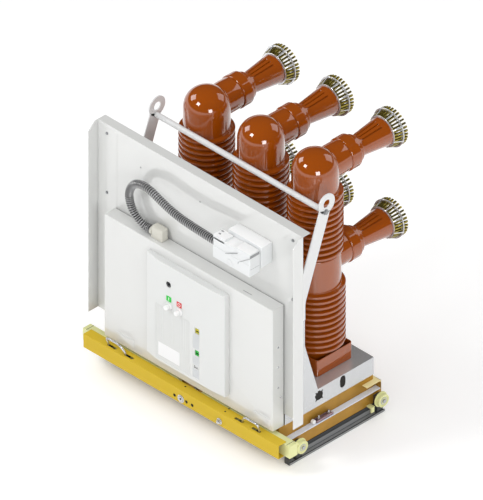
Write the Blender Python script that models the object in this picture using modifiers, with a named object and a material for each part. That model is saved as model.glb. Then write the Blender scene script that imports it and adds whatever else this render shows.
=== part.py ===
"""Withdrawable indoor vacuum circuit breaker on a racking truck.

Lengths are in metres and +Z is up. X runs across the three poles, the front
panel faces -Y and the contact arms point to +Y. Sizes are written with the
centre pole's axis at X = 0, Y = 0 and the rails' underside at Z = 0. At the
end everything is moved along Y, so that the origin is the middle of the base.
"""
import math

import bmesh
import bpy
from mathutils import Matrix
from mathutils import Vector

# Clearances between neighbouring pieces
GAP = 0.0003
RUN = 0.0008
SHEET = 0.0020
FUSE = 0.0010

# Poles
POLE_PITCH = 0.2100
POLE_SIDES = 12
CORE_R = 0.0660
DOME_RISE = 0.0645
DOME_STEPS = 4
TERMINAL_Z = 0.4880
TERMINAL_PITCH = 0.3055
UPPER_Z = TERMINAL_Z + TERMINAL_PITCH
DOME_TOP = UPPER_Z + DOME_RISE
DOME_Z = DOME_TOP - CORE_R
RIB_PITCH = 0.0183
RIB_COUNT = 11
UPPER_RIB_TOP = UPPER_Z - 0.0600
UPPER_RIB_R = 0.0789
BELT_R = 0.0723
BELT_TOP = UPPER_RIB_TOP - RIB_COUNT * RIB_PITCH
LOWER_RIB_TOP = TERMINAL_Z - 0.0595
LOWER_RIB_R = 0.0845
FOOT_X = 0.1534
FOOT_Y = 0.1370
FOOT_TOP = 0.2230
BORE_R = 0.0500
ARM_TUBE_R = 0.0480
ARM_TUBE_END = 0.0985

# Arm sleeves and contacts
SLEEVE_SIDES = 12
SLEEVE_START = ARM_TUBE_END + GAP
SLEEVE_END = 0.2586
COLLAR_R = 0.0505
NECK_R = 0.0305
BELL_R = 0.0434
ARM_R = 0.0175
ARM_START = 0.0180
RING_R = 0.0542
FINGER_R = 0.0526
FRONT_RING_R = 0.0615
FINGER_IN_R = 0.0440
FINGER_SEAT = SLEEVE_END + 0.0134
FINGER_TIP = SLEEVE_END + 0.0450
FINGER_SLOT = 0.0135
FINGER_SLOT_W = 0.0050
FINGER_SLOT_REACH = 0.0200
REAR_RING = 0.0050
FRONT_RING = 0.0035
FRONT_RING_END = FINGER_TIP - 0.0141
FINGERS = 12

# Drive inside the poles and the base box
SHAFT_Y = -0.0350
SHAFT_Z = 0.1405
SHAFT_R = 0.0100
LEVER = -SHAFT_Y
LEVER_SWING = math.radians(18.0)
ROLLER_R = 0.0040
STROKE = 2.0 * LEVER * math.sin(LEVER_SWING / 2.0)
ROD_R = 0.0180
ROD_TIP_R = 0.0060
ROD_TIP = 0.0100
STEM_R = 0.0125
BOTTLE_R = 0.0450
BOTTLE_HIGH = UPPER_Z - 0.0285
BOTTLE_LENGTH = 0.2200
BOTTLE_LOW = BOTTLE_HIGH - BOTTLE_LENGTH
BOTTLE_STEM = 0.0490
BOTTLE_STEM_TOP = BOTTLE_HIGH + BOTTLE_STEM
STEM_IN = 0.0550
STEM_TOP = BOTTLE_LOW + STEM_IN
ROD_TOP = TERMINAL_Z - 0.0480
ROD_BOTTOM = SHAFT_Z - STROKE / 2.0 + ROLLER_R + RUN

# Rails and wheels
RAIL_X_IN = 0.3395
RAIL_X_OUT = 0.3593
RAIL_Y0 = -0.2485
RAIL_Y1 = 0.1206
RAIL_WALL = 0.0030
RAIL_H = 0.0300
RAIL_LIP = 0.0070
RAIL_TAB = 0.0200
WHEEL_R = 0.0200
WHEEL_RIM_R = 0.0235
WHEEL_RIM = 0.0030
WHEEL_X_OUT = 0.3720
WHEEL_W = 0.0148
WHEEL_Z = 0.0475
WHEEL_YS = (-0.2085, 0.1048)
WHEEL_SIDES = 16
AXLE_R = 0.0050
AXLE_HEAD_R = 0.0060
AXLE_HEAD = 0.0013
AXLE_FIT = 0.00006

# Truck body
TRUCK_SHEET = 0.0030
TRUCK_X_OUT = RAIL_X_IN + 0.0015
LEDGE = 0.0190
TRUCK_X_IN = TRUCK_X_OUT - LEDGE
TRUCK_Z0 = RAIL_H + GAP
LEDGE_Z = 0.0650
TRUCK_TOP = 0.1117
TRUCK_Y0 = -0.2525
TRUCK_Y1 = 0.1250
TRAY_Y1 = 0.1120
REAR_TOP = 0.0880
BAR_T = 0.0027
BAR_Y0 = -0.2280

# Housing of the drive
HOUSE_X = 0.3260
HOUSE_Z0 = TRUCK_TOP + GAP
BOX_TOP = 0.1690
BOX_Y1 = 0.1110
HOUSE_TOP = 0.4900
HOUSE_Y_TOP = -0.1560
HOUSE_BEND_Z = 0.3390
HOUSE_Y_LOW = -0.1055
SLOT_Y = -0.0093
CROSS_Y = -0.1013
SIDE_HOLE_Z = 0.1470
SIDE_SPAN = (SIDE_HOLE_Z - 0.0050, SIDE_HOLE_Z + 0.0050)

# Closing spring and charging motor on the rear wall of the housing
SPRING_X = 0.2000
SPRING_BACK = 0.0367
SPRING_LOW = 0.2300
SPRING_LENGTH = 0.1800
SPRING_R = 0.0200
SPRING_WIRE_R = 0.0030
SPRING_TURNS = 4
SPRING_STEPS = 6
SEAT_EDGE = 0.0040
SEAT_T = 0.0060
MOTOR_X = -0.2000
MOTOR_BACK = 0.0387
MOTOR_Z = 0.3200
MOTOR_R = 0.0270
MOTOR_LENGTH = 0.1000
MOTOR_PLATE_X = 0.0400
MOTOR_PLATE_Z = 0.0200

# Front panel
PANEL_X = 0.3975
PANEL_Y = -0.2357
PANEL_Z0 = 0.1510
PANEL_Z1 = 0.7797
FLANGE_Y = -0.2725
TOP_FLANGE = 0.0300
FLANGE_CUT = 0.0240
OPENING_X = 0.3000
OPENING_Z0 = 0.1750
OPENING_Z1 = 0.4850

# Cover of the drive
COVER_Y0 = -0.2808
COVER_Y1 = PANEL_Y - GAP
COVER_Z0 = 0.1127
COVER_Z1 = 0.5187

# Moulded fascia
FASCIA_Z0 = 0.1540
FASCIA_Z1 = 0.4900
FASCIA_WALL = 0.0025
FASCIA_Y = COVER_Y0 - GAP
FASCIA_PROUD = 0.0210
FASCIA_FRONT = FASCIA_Y - FASCIA_PROUD
FASCIA_INNER = FASCIA_FRONT + FASCIA_WALL
FASCIA_PLAN = (
    (-0.1500, 0.0000),
    (-0.1500, 0.0110),
    (-0.1000, FASCIA_PROUD),
    (0.1050, FASCIA_PROUD),
    (0.1570, 0.0170),
    (0.1570, 0.0000),
)

# Controls on the fascia
BUTTON_Z = 0.3590
BUTTON_XS = (-0.0520, -0.0120)
BUTTON_R = 0.0070
BUTTON_OUT = 0.0160
BUTTON_COLLAR_R = 0.0100
BUTTON_COLLAR = 0.0080
BUTTON_STEM_R = 0.0040
BUTTON_TRAVEL = 0.0050
BUTTON_REAR = -0.2400
CHARGE_X = -0.0557
CHARGE_Z = 0.4276
CHARGE_R = 0.0090
CHARGE_HEX_R = 0.0058
CHARGE_HEX = 0.0150
CHARGE_CORE_R = 0.0060
CAM_R = 0.0280
CAM_T = 0.0080
CAM_SET = 0.0200
FLAG_TRAVEL = 0.0220
FLAG_WINDOW = (0.0180, 0.0190)
FLAG_X = 0.0547
STATE_Z = 0.3254
SPRING_Z = 0.2516
FLAG_T = 0.0015
FLAG_STEM_R = 0.0025
COUNTER_X = 0.0500
COUNTER_Z = 0.2030
COUNTER_WINDOW = (0.0150, 0.0100)

# Racking beam
BEAM_X = 0.3777
BEAM_Y0 = -0.3103
BEAM_Y1 = -0.2793
BEAM_Z0 = 0.0612
BEAM_Z1 = 0.1060
BEAM_TRAVEL = 0.2000
TONGUE_X = 0.4010
TONGUE_IN = 0.0450
TONGUE_Y0 = BEAM_Y0 + 0.0208
TONGUE_DEPTH = 0.0300
TONGUE_Y1 = TONGUE_Y0 + TONGUE_DEPTH
TONGUE_TRAVEL = 0.0240
TONGUE_Z0 = BEAM_Z0 + SHEET + GAP
TONGUE_Z1 = BEAM_Z1 - SHEET - GAP
HANDLE_R = 0.0035
HANDLE_SET = 0.0126
HANDLE_Y = BEAM_Y0 + HANDLE_SET
HANDLE_XS = (0.2255, 0.2917)
HANDLE_TOP_XS = (0.2430, 0.2940)
HANDLE_TOP_Y = BEAM_Y0 + 0.0038
HANDLE_TOP_Z = 0.1340
HANDLE_LOW_Z = 0.0830
SCREW_Z = 0.0766
SCREW_R = 0.0080
SCREW_PITCH = 0.0100
SCREW_FRONT = -0.3125
SCREW_COLLAR_R = 0.0120
SCREW_COLLAR = 0.0040
SCREW_SOCKET_R = 0.0050
SCREW_SOCKET = 0.0120
NUT_HALF = 0.0160
NUT_LENGTH = 0.0240
NUT_FIT = 0.00008
STUD_X = 0.1500
STUD_R = 0.0040
STUD_OUT = 0.0100

# Lifting frame
LIFT_T = 0.0040
LIFT_X = HOUSE_X + GAP
LIFT_FOOT = (-0.1790, 0.4300)
LIFT_KNEE = (-0.1790, 0.4900)
LIFT_HALF_W = 0.0210
EYE_Y = -0.0747
EYE_Z = 0.7776
EYE_R = 0.0310
EYE_HOLE_R = 0.0130
CROSS_ROD_R = 0.0085
CROSS_ROD_Y = EYE_Y - 0.0053
CROSS_ROD_Z = EYE_Z - 0.0249

# Cable set
ELBOW_X0 = -0.1680
ELBOW_X1 = -0.1160
ELBOW_Y0 = -0.2680
ELBOW_Y1 = -0.2420
ELBOW_Z1 = 0.5580
ELBOW_NECK_R = 0.0118
CONDUIT_R = 0.0123
SOCKET_X = (0.1500, 0.2800)
SOCKET_Z = (0.6270, 0.7050)
HOOD_X = (0.1310, 0.2745)
HOOD_Z = (0.6230, 0.6980)
HOOD_Y0 = -0.3210
HOOD_Y1 = -0.2780
CONDUIT_PATH = (
    (ELBOW_X0 - GAP, -0.2550, 0.5325),
    (-0.1850, -0.2550, 0.5325),
    (-0.1993, -0.2577, 0.5375),
    (-0.2198, -0.2606, 0.5514),
    (-0.2360, -0.2637, 0.5751),
    (-0.2430, -0.2672, 0.6102),
    (-0.2381, -0.2693, 0.6372),
    (-0.2247, -0.2711, 0.6610),
    (-0.2050, -0.2726, 0.6760),
    (-0.1744, -0.2749, 0.6835),
    (-0.1445, -0.2778, 0.6815),
    (-0.1100, -0.2812, 0.6737),
    (-0.0671, -0.2854, 0.6654),
    (-0.0243, -0.2894, 0.6612),
    (0.0180, -0.2931, 0.6608),
    (0.0604, -0.2967, 0.6620),
    (0.0986, -0.2995, 0.6625),
    (HOOD_X[0] - GAP, -0.2995, 0.6625),
)

# Origin of the finished part along Y
MIDDLE_Y = (HOOD_Y0 + FINGER_TIP) / 2.0

COLOURS = {
    "epoxy": (0.330, 0.072, 0.008, 1.0),
    "white": (0.800, 0.800, 0.780, 1.0),
    "housing": (0.560, 0.570, 0.580, 1.0),
    "fascia": (0.640, 0.640, 0.620, 1.0),
    "beam_yellow": (0.700, 0.440, 0.030, 1.0),
    "zinc_gold": (0.560, 0.330, 0.060, 1.0),
    "cream": (0.720, 0.720, 0.340, 1.0),
    "steel": (0.560, 0.560, 0.570, 1.0),
    "dark_steel": (0.070, 0.075, 0.080, 1.0),
    "purple_zinc": (0.520, 0.380, 0.420, 1.0),
    "silver": (0.800, 0.790, 0.760, 1.0),
    "conduit_grey": (0.130, 0.130, 0.125, 1.0),
    "gland": (0.740, 0.710, 0.600, 1.0),
    "green": (0.010, 0.560, 0.050, 1.0),
    "red": (0.620, 0.020, 0.015, 1.0),
    "flag_yellow": (0.820, 0.620, 0.020, 1.0),
    "ceramic": (0.780, 0.770, 0.730, 1.0),
    "rod_plastic": (0.550, 0.200, 0.080, 1.0),
    "motor_grey": (0.300, 0.310, 0.330, 1.0),
}


def clear_scene():
    """Remove every object that the file starts with."""
    for item in list(bpy.data.objects):
        bpy.data.objects.remove(item, do_unlink=True)


def make_collection(name):
    """Return a new collection linked to the scene."""
    group = bpy.data.collections.new(name)
    bpy.context.scene.collection.children.link(group)
    return group


def material(name):
    """Return the Principled material of a colour name."""
    found = bpy.data.materials.get(name)
    if found:
        return found
    made = bpy.data.materials.new(name)
    made.use_nodes = True
    shader = made.node_tree.nodes["Principled BSDF"]
    shader.inputs["Base Color"].default_value = COLOURS[name]
    shader.inputs["Roughness"].default_value = 0.4
    return made


def place(mesh, name, home, origin=(0.0, 0.0, 0.0)):
    """Put a mesh in a collection as an object whose origin is given."""
    item = bpy.data.objects.new(name, mesh)
    item.location = origin
    home.objects.link(item)
    return item


def shape(name, colour, mesh, origin=(0.0, 0.0, 0.0)):
    """Make a piece of the part."""
    item = place(mesh, name, PARTS, origin)
    mesh.materials.append(material(colour))
    return item


def tool(name, mesh, origin=(0.0, 0.0, 0.0)):
    """Make a solid that only shapes other solids."""
    item = place(mesh, name, TOOLS, origin)
    item.hide_render = True
    item.display_type = "WIRE"
    return item


def combine(item, other, operation):
    """Join a tool to a piece, or cut the piece with it."""
    step = item.modifiers.new(other.name, "BOOLEAN")
    step.operation = operation
    step.solver = "EXACT"
    step.object = other
    return item


def add(item, *others):
    """Join tools to a piece."""
    for other in others:
        combine(item, other, "UNION")
    return item


def cut(item, *others):
    """Cut a piece with tools."""
    for other in others:
        combine(item, other, "DIFFERENCE")
    return item


def finish_mesh(name, data):
    """Turn a bmesh with outward faces into a mesh."""
    bmesh.ops.recalc_face_normals(data, faces=data.faces)
    mesh = bpy.data.meshes.new(name)
    data.to_mesh(mesh)
    data.free()
    return mesh


def boxes(name, *spans):
    """Mesh of boxes, each given as its X, Y and Z spans."""
    data = bmesh.new()
    for x_span, y_span, z_span in spans:
        low = Vector((min(x_span), min(y_span), min(z_span)))
        high = Vector((max(x_span), max(y_span), max(z_span)))
        size = high - low
        scale = Matrix.Diagonal((size.x, size.y, size.z, 1.0))
        move = Matrix.Translation((low + high) / 2.0)
        bmesh.ops.create_cube(data, size=1.0, matrix=move @ scale)
    return finish_mesh(name, data)


def along(axis):
    """Matrix that turns +Z to the named axis."""
    if axis == "X":
        return Matrix.Rotation(math.pi / 2.0, 4, "Y")
    if axis == "Y":
        return Matrix.Rotation(-math.pi / 2.0, 4, "X")
    return Matrix.Identity(4)


def rods(name, axis, sides, *items):
    """Mesh of round rods, each given as its centre, radius and length."""
    data = bmesh.new()
    for centre, radius, length in items:
        move = Matrix.Translation(Vector(centre))
        bmesh.ops.create_cone(
            data,
            cap_ends=True,
            cap_tris=False,
            segments=sides,
            radius1=radius,
            radius2=radius,
            depth=length,
            matrix=move @ along(axis),
        )
    return finish_mesh(name, data)


def prism(name, axis, outline, start, end):
    """Extrude a flat outline along an axis.

    The outline holds (Y, Z) pairs for axis X, (X, Z) for Y and (X, Y) for Z.
    """
    data = bmesh.new()
    corners = []
    for first, second in outline:
        if axis == "X":
            spot = (start, first, second)
        elif axis == "Y":
            spot = (first, start, second)
        else:
            spot = (first, second, start)
        corners.append(data.verts.new(spot))
    face = data.faces.new(corners)
    grown = bmesh.ops.extrude_face_region(data, geom=[face])
    moved = [part for part in grown["geom"] if isinstance(part, bmesh.types.BMVert)]
    step = {"X": (1.0, 0.0, 0.0), "Y": (0.0, 1.0, 0.0), "Z": (0.0, 0.0, 1.0)}[axis]
    bmesh.ops.translate(data, verts=moved, vec=Vector(step) * (end - start))
    return finish_mesh(name, data)


def turned(item, axis, sides):
    """Turn a profile into a round solid about the object's own Z, laid along an axis."""
    item.rotation_euler = along(axis).to_euler()
    step = item.modifiers.new("turn", "SCREW")
    step.axis = "Z"
    step.steps = sides
    step.render_steps = sides
    step.use_merge_vertices = True
    step.merge_threshold = 0.00001
    return item


def profile(name, points, closed):
    """Mesh of a profile in the X-Z plane, from (radius, height) points."""
    mesh = bpy.data.meshes.new(name)
    corners = [(radius, 0.0, height) for radius, height in points]
    edges = [(index, index + 1) for index in range(len(points) - 1)]
    if closed:
        edges.append((len(points) - 1, 0))
    mesh.from_pydata(corners, edges, [])
    return mesh


def lathe(name, colour, points, axis, sides, origin, closed=False):
    """Make a round piece from a profile that runs down its outer side."""
    item = shape(name, colour, profile(name, points, closed), origin)
    return turned(item, axis, sides)


def lathe_tool(name, points, axis, sides, origin, closed=False):
    """Make a round shaping solid from a profile that runs down its outer side."""
    item = tool(name, profile(name, points, closed), origin)
    return turned(item, axis, sides)


def round_hole_r(radius, sides):
    """Radius of a many-sided hole whose flats clear a round of the given radius."""
    return radius / math.cos(math.pi / sides)


def tube_piece(name, colour, path, radius, resolution):
    """Make a round bar that follows a path, as a closed mesh."""
    curve = bpy.data.curves.new(name, "CURVE")
    curve.dimensions = "3D"
    curve.bevel_depth = radius
    curve.bevel_resolution = resolution
    curve.use_fill_caps = True
    spline = curve.splines.new("POLY")
    spline.points.add(len(path) - 1)
    for point, spot in zip(spline.points, path):
        point.co = (spot[0], spot[1], spot[2], 1.0)
    guide = bpy.data.objects.new(name + "_guide", curve)
    TOOLS.objects.link(guide)
    bpy.context.view_layer.update()
    solved = guide.evaluated_get(bpy.context.evaluated_depsgraph_get())
    mesh = bpy.data.meshes.new_from_object(solved)
    bpy.data.objects.remove(guide, do_unlink=True)
    data = bmesh.new()
    data.from_mesh(mesh)
    bmesh.ops.remove_doubles(data, verts=data.verts, dist=0.00001)
    mesh.materials.clear()
    bpy.data.meshes.remove(mesh)
    return shape(name, colour, finish_mesh(name, data))


def both(span):
    """Span from minus a value to plus the value."""
    return (-span, span)


def sided(side, low, high):
    """Span on the left or the right half."""
    return (side * low, side * high)


def side_name(side):
    """Name of the half that a sign stands for."""
    return "right" if side > 0 else "left"


def build_pole(name, pole_x):
    """Ribbed epoxy pole with its foot, two arm tubes and an open bore."""
    points = [(0.0, DOME_TOP)]
    for step in range(1, DOME_STEPS):
        angle = math.pi / 2.0 * step / DOME_STEPS
        points.append((CORE_R * math.sin(angle), DOME_Z + CORE_R * math.cos(angle)))
    points.append((CORE_R, DOME_Z))
    for index in range(RIB_COUNT):
        top = UPPER_RIB_TOP - index * RIB_PITCH
        points.append((CORE_R, top))
        points.append((UPPER_RIB_R, top - RIB_PITCH * 0.55))
    points.append((CORE_R, BELT_TOP))
    points.append((BELT_R, BELT_TOP - RIB_PITCH * 0.2))
    for index in range(RIB_COUNT):
        top = LOWER_RIB_TOP - index * RIB_PITCH
        points.append((BELT_R, top))
        points.append((LOWER_RIB_R, top - RIB_PITCH * 0.55))
    points.append((BELT_R, LOWER_RIB_TOP - RIB_COUNT * RIB_PITCH))
    foot_z = BOX_TOP + GAP
    points.append((CORE_R - FUSE, foot_z + FUSE))
    points.append((0.0, foot_z + FUSE))
    pole = lathe(name, "epoxy", points, "Z", POLE_SIDES, (pole_x, 0.0, 0.0))
    foot = boxes(
        name + "_foot",
        (
            (pole_x - FOOT_X / 2.0, pole_x + FOOT_X / 2.0),
            both(FOOT_Y / 2.0),
            (foot_z, FOOT_TOP),
        ),
    )
    add(pole, tool(name + "_foot", foot))
    for label, level in (("low", TERMINAL_Z), ("high", UPPER_Z)):
        tube = rods(
            name + "_tube_" + label,
            "Y",
            POLE_SIDES,
            ((pole_x, ARM_TUBE_END / 2.0, level), ARM_TUBE_R, ARM_TUBE_END),
        )
        add(pole, tool(name + "_tube_" + label, tube))
    room_top = BOTTLE_STEM_TOP + RUN
    room_low = foot_z - FUSE
    room = rods(
        name + "_room",
        "Z",
        POLE_SIDES,
        ((pole_x, 0.0, (room_top + room_low) / 2.0), BORE_R, room_top - room_low),
    )
    cut(pole, tool(name + "_room", room))
    for label, level in (("low", TERMINAL_Z), ("high", UPPER_Z)):
        passage = rods(
            name + "_passage_" + label,
            "Y",
            POLE_SIDES,
            ((pole_x, ARM_TUBE_END / 2.0 + FUSE, level), ARM_R + RUN, ARM_TUBE_END),
        )
        cut(pole, tool(name + "_passage_" + label, passage))
    return pole


def build_sleeve(name, pole_x, level):
    """Insulating sleeve with a collar, a neck and a bell mouth."""
    inner = ARM_R + RUN
    points = (
        (BELL_R, SLEEVE_END),
        (NECK_R, SLEEVE_START + 0.0740),
        (NECK_R + 0.0040, SLEEVE_START + 0.0560),
        (BELL_R, SLEEVE_START + 0.0390),
        (COLLAR_R, SLEEVE_START + 0.0300),
        (COLLAR_R, SLEEVE_START),
        (inner, SLEEVE_START),
        (inner, SLEEVE_START + 0.0760),
        (BELL_R - 0.0032, SLEEVE_END),
    )
    return lathe(name, "epoxy", points, "Y", SLEEVE_SIDES, (pole_x, 0.0, level), True)


def build_contact(name, pole_x, level):
    """Contact arm with its cluster of fingers."""
    back = SLEEVE_END + GAP
    points = (
        (0.0, FINGER_SEAT),
        (FINGER_IN_R - 0.0040, FINGER_SEAT),
        (FINGER_IN_R, FINGER_TIP),
        (FINGER_R, FINGER_TIP),
        (FINGER_R, FRONT_RING_END),
        (FRONT_RING_R, FRONT_RING_END),
        (FRONT_RING_R, FRONT_RING_END - FRONT_RING),
        (FINGER_R - 0.0010, FRONT_RING_END - FRONT_RING),
        (FINGER_R - 0.0010, back + REAR_RING),
        (RING_R, back + REAR_RING),
        (RING_R, back),
        (ARM_R, back),
        (ARM_R, ARM_START),
        (0.0, ARM_START),
    )
    contact = lathe(name, "silver", points, "Y", FINGERS, (pole_x, 0.0, level))
    data = bmesh.new()
    for index in range(FINGERS):
        turn = Matrix.Rotation((index + 0.5) * 2.0 * math.pi / FINGERS, 4, "Y")
        reach = (FINGER_IN_R + FINGER_R) / 2.0
        move = Matrix.Translation((reach, FINGER_TIP - FINGER_SLOT / 2.0 + FUSE, 0.0))
        scale = Matrix.Diagonal((FINGER_SLOT_REACH, FINGER_SLOT, FINGER_SLOT_W, 1.0))
        bmesh.ops.create_cube(data, size=1.0, matrix=turn @ move @ scale)
    slots = tool(name + "_slots", finish_mesh(name + "_slots", data), (pole_x, 0.0, level))
    return cut(contact, slots)


def build_bottle(name, pole_x):
    """Vacuum interrupter with its fixed stem and a bore for the moving stem."""
    bore = round_hole_r(STEM_R + GAP, POLE_SIDES)
    points = (
        (0.0, BOTTLE_STEM_TOP),
        (ARM_R - 0.0010, BOTTLE_STEM_TOP),
        (ARM_R - 0.0010, BOTTLE_HIGH),
        (BOTTLE_R, BOTTLE_HIGH),
        (BOTTLE_R, BOTTLE_LOW),
        (bore, BOTTLE_LOW),
        (bore, STEM_TOP + STROKE + GAP),
        (0.0, STEM_TOP + STROKE + GAP),
    )
    return lathe(name, "ceramic", points, "Z", POLE_SIDES, (pole_x, 0.0, 0.0))


def build_pull_rod(name, pole_x):
    """Insulating pull rod that carries the moving stem of the interrupter."""
    points = (
        (0.0, STEM_TOP - ROD_BOTTOM),
        (STEM_R, STEM_TOP - ROD_BOTTOM),
        (STEM_R, ROD_TOP - ROD_BOTTOM),
        (ROD_R, ROD_TOP - ROD_BOTTOM),
        (ROD_R, ROD_TIP + ROD_R - ROD_TIP_R),
        (ROD_TIP_R, ROD_TIP),
        (ROD_TIP_R, 0.0),
        (0.0, 0.0),
    )
    return lathe(name, "rod_plastic", points, "Z", 8, (pole_x, 0.0, ROD_BOTTOM))


def build_main_shaft():
    """Main shaft with a lever and a roller under each pull rod."""
    length = 2.0 * (HOUSE_X - SHEET - RUN)
    base = rods("main_shaft", "X", 12, ((0.0, 0.0, 0.0), SHAFT_R, length))
    shaft = shape("main_shaft", "dark_steel", base, (0.0, SHAFT_Y, SHAFT_Z))
    tilt = Matrix.Rotation(-LEVER_SWING / 2.0, 4, "X")
    data = bmesh.new()
    for index in (-1, 0, 1):
        move = Matrix.Translation((index * POLE_PITCH, LEVER / 2.0, 0.0))
        scale = Matrix.Diagonal((0.0100, LEVER, 0.0070, 1.0))
        bmesh.ops.create_cube(data, size=1.0, matrix=tilt @ move @ scale)
    levers = finish_mesh("levers", data)
    add(shaft, tool("levers", levers, (0.0, SHAFT_Y, SHAFT_Z)))
    drop = -LEVER * math.sin(LEVER_SWING / 2.0)
    reach = LEVER * math.cos(LEVER_SWING / 2.0)
    rollers = rods(
        "rollers",
        "X",
        8,
        ((-POLE_PITCH, reach, drop), ROLLER_R, 0.0160),
        ((0.0, reach, drop), ROLLER_R, 0.0160),
        ((POLE_PITCH, reach, drop), ROLLER_R, 0.0160),
    )
    add(shaft, tool("rollers", rollers, (0.0, SHAFT_Y, SHAFT_Z)))
    return shaft


def build_rail(side):
    """Side rail open to the outside, with wheel brackets and stub axles."""
    name = "rail_" + side_name(side)
    x_in = side * RAIL_X_IN
    x_out = side * RAIL_X_OUT
    outline = (
        (x_in, 0.0),
        (x_out, 0.0),
        (x_out, RAIL_LIP),
        (x_out - side * RAIL_WALL, RAIL_LIP),
        (x_out - side * RAIL_WALL, RAIL_WALL),
        (x_in + side * RAIL_WALL, RAIL_WALL),
        (x_in + side * RAIL_WALL, RAIL_H),
        (x_in, RAIL_H),
    )
    rail = shape(name, "dark_steel", prism(name, "Y", outline, RAIL_Y0, RAIL_Y1))
    tab_span = sided(side, RAIL_X_IN, RAIL_X_OUT)
    tabs = boxes(name + "_tab", (tab_span, (RAIL_Y0, RAIL_Y0 + RAIL_WALL), (0.0, RAIL_TAB)))
    add(rail, tool(name + "_tab", tabs))
    block_in = TRUCK_X_OUT + GAP
    block_out = WHEEL_X_OUT - WHEEL_W - RUN
    blocks = boxes(
        name + "_blocks",
        *[
            (
                sided(side, block_in, block_out),
                (wheel_y - 0.0110, wheel_y + 0.0110),
                (RAIL_WALL / 2.0, WHEEL_Z + 0.0100),
            )
            for wheel_y in WHEEL_YS
        ],
    )
    add(rail, tool(name + "_blocks", blocks))
    head_start = WHEEL_X_OUT + GAP
    for index, wheel_y in enumerate(WHEEL_YS):
        points = (
            (0.0, head_start + AXLE_HEAD - block_in),
            (AXLE_HEAD_R, head_start + AXLE_HEAD - block_in),
            (AXLE_HEAD_R, head_start - block_in),
            (AXLE_R, head_start - block_in),
            (AXLE_R, FUSE),
            (0.0, FUSE),
        )
        label = name + "_axle_" + str(index)
        axle = lathe_tool(label, points, "X", WHEEL_SIDES, (side * block_in, wheel_y, WHEEL_Z))
        if side < 0:
            axle.rotation_euler = Matrix.Rotation(-math.pi / 2.0, 4, "Y").to_euler()
        add(rail, axle)
    return rail


def build_wheel(side, index):
    """Flanged truck wheel on its own axis."""
    place_name = "front" if index == 0 else "rear"
    name = "wheel_" + place_name + "_" + side_name(side)
    bore = round_hole_r(AXLE_R + AXLE_FIT, WHEEL_SIDES)
    points = (
        (WHEEL_R, WHEEL_W),
        (WHEEL_R, WHEEL_RIM),
        (WHEEL_RIM_R, WHEEL_RIM),
        (WHEEL_RIM_R, 0.0),
        (bore, 0.0),
        (bore, WHEEL_W),
    )
    origin = (side * (WHEEL_X_OUT - WHEEL_W), WHEEL_YS[index], WHEEL_Z)
    wheel = lathe(name, "cream", points, "X", WHEEL_SIDES, origin, True)
    if side < 0:
        wheel.rotation_euler = Matrix.Rotation(-math.pi / 2.0, 4, "Y").to_euler()
    return wheel


def build_truck():
    """Body pan of the truck with ledges for the slide bars."""
    outer = (
        (-TRUCK_X_OUT, TRUCK_Z0),
        (TRUCK_X_OUT, TRUCK_Z0),
        (TRUCK_X_OUT, LEDGE_Z),
        (TRUCK_X_IN, LEDGE_Z),
        (TRUCK_X_IN, TRUCK_TOP),
        (-TRUCK_X_IN, TRUCK_TOP),
        (-TRUCK_X_IN, LEDGE_Z),
        (-TRUCK_X_OUT, LEDGE_Z),
    )
    body = shape("truck_body", "zinc_gold", prism("truck", "Y", outer, TRUCK_Y0, TRAY_Y1))
    x_out = TRUCK_X_OUT
    tail = boxes(
        "truck_tail",
        (both(x_out), (TRAY_Y1 - FUSE, TRUCK_Y1), (TRUCK_Z0, LEDGE_Z)),
    )
    plate = boxes(
        "truck_rear_plate",
        (both(x_out), (TRUCK_Y1 - TRUCK_SHEET, TRUCK_Y1), (TRUCK_Z0, REAR_TOP)),
    )
    add(body, tool("truck_tail", tail), tool("truck_rear_plate", plate))
    wall = TRUCK_SHEET
    inner = (
        (-x_out + wall, TRUCK_Z0 - FUSE),
        (x_out - wall, TRUCK_Z0 - FUSE),
        (x_out - wall, LEDGE_Z - wall),
        (TRUCK_X_IN - wall, LEDGE_Z - wall),
        (TRUCK_X_IN - wall, TRUCK_TOP - wall),
        (-TRUCK_X_IN + wall, TRUCK_TOP - wall),
        (-TRUCK_X_IN + wall, LEDGE_Z - wall),
        (-x_out + wall, LEDGE_Z - wall),
    )
    room = prism("truck_room", "Y", inner, TRUCK_Y0 + wall, TRAY_Y1 - wall)
    tail_room = boxes(
        "truck_tail_room",
        (
            both(x_out - wall),
            (TRAY_Y1 - 3.0 * wall, TRUCK_Y1 - wall),
            (TRUCK_Z0 - FUSE, LEDGE_Z - wall),
        ),
    )
    cut(body, tool("truck_room", room), tool("truck_tail_room", tail_room))
    screw_hole = rods(
        "truck_screw_hole",
        "Y",
        16,
        ((0.0, TRUCK_Y0 + wall / 2.0, SCREW_Z), round_hole_r(SCREW_R + RUN, 16), 2.0 * wall),
    )
    cut(body, tool("truck_screw_hole", screw_hole))
    return body


def build_slide_bar(side):
    """Flat bar on the ledge of the truck."""
    name = "slide_bar_" + side_name(side)
    span = sided(side, TRUCK_X_IN + GAP, TRUCK_X_OUT)
    low = LEDGE_Z + GAP
    end = TRUCK_Y1 - TRUCK_SHEET - GAP
    return shape(name, "steel", boxes(name, (span, (BAR_Y0, end), (low, low + BAR_T))))


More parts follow.
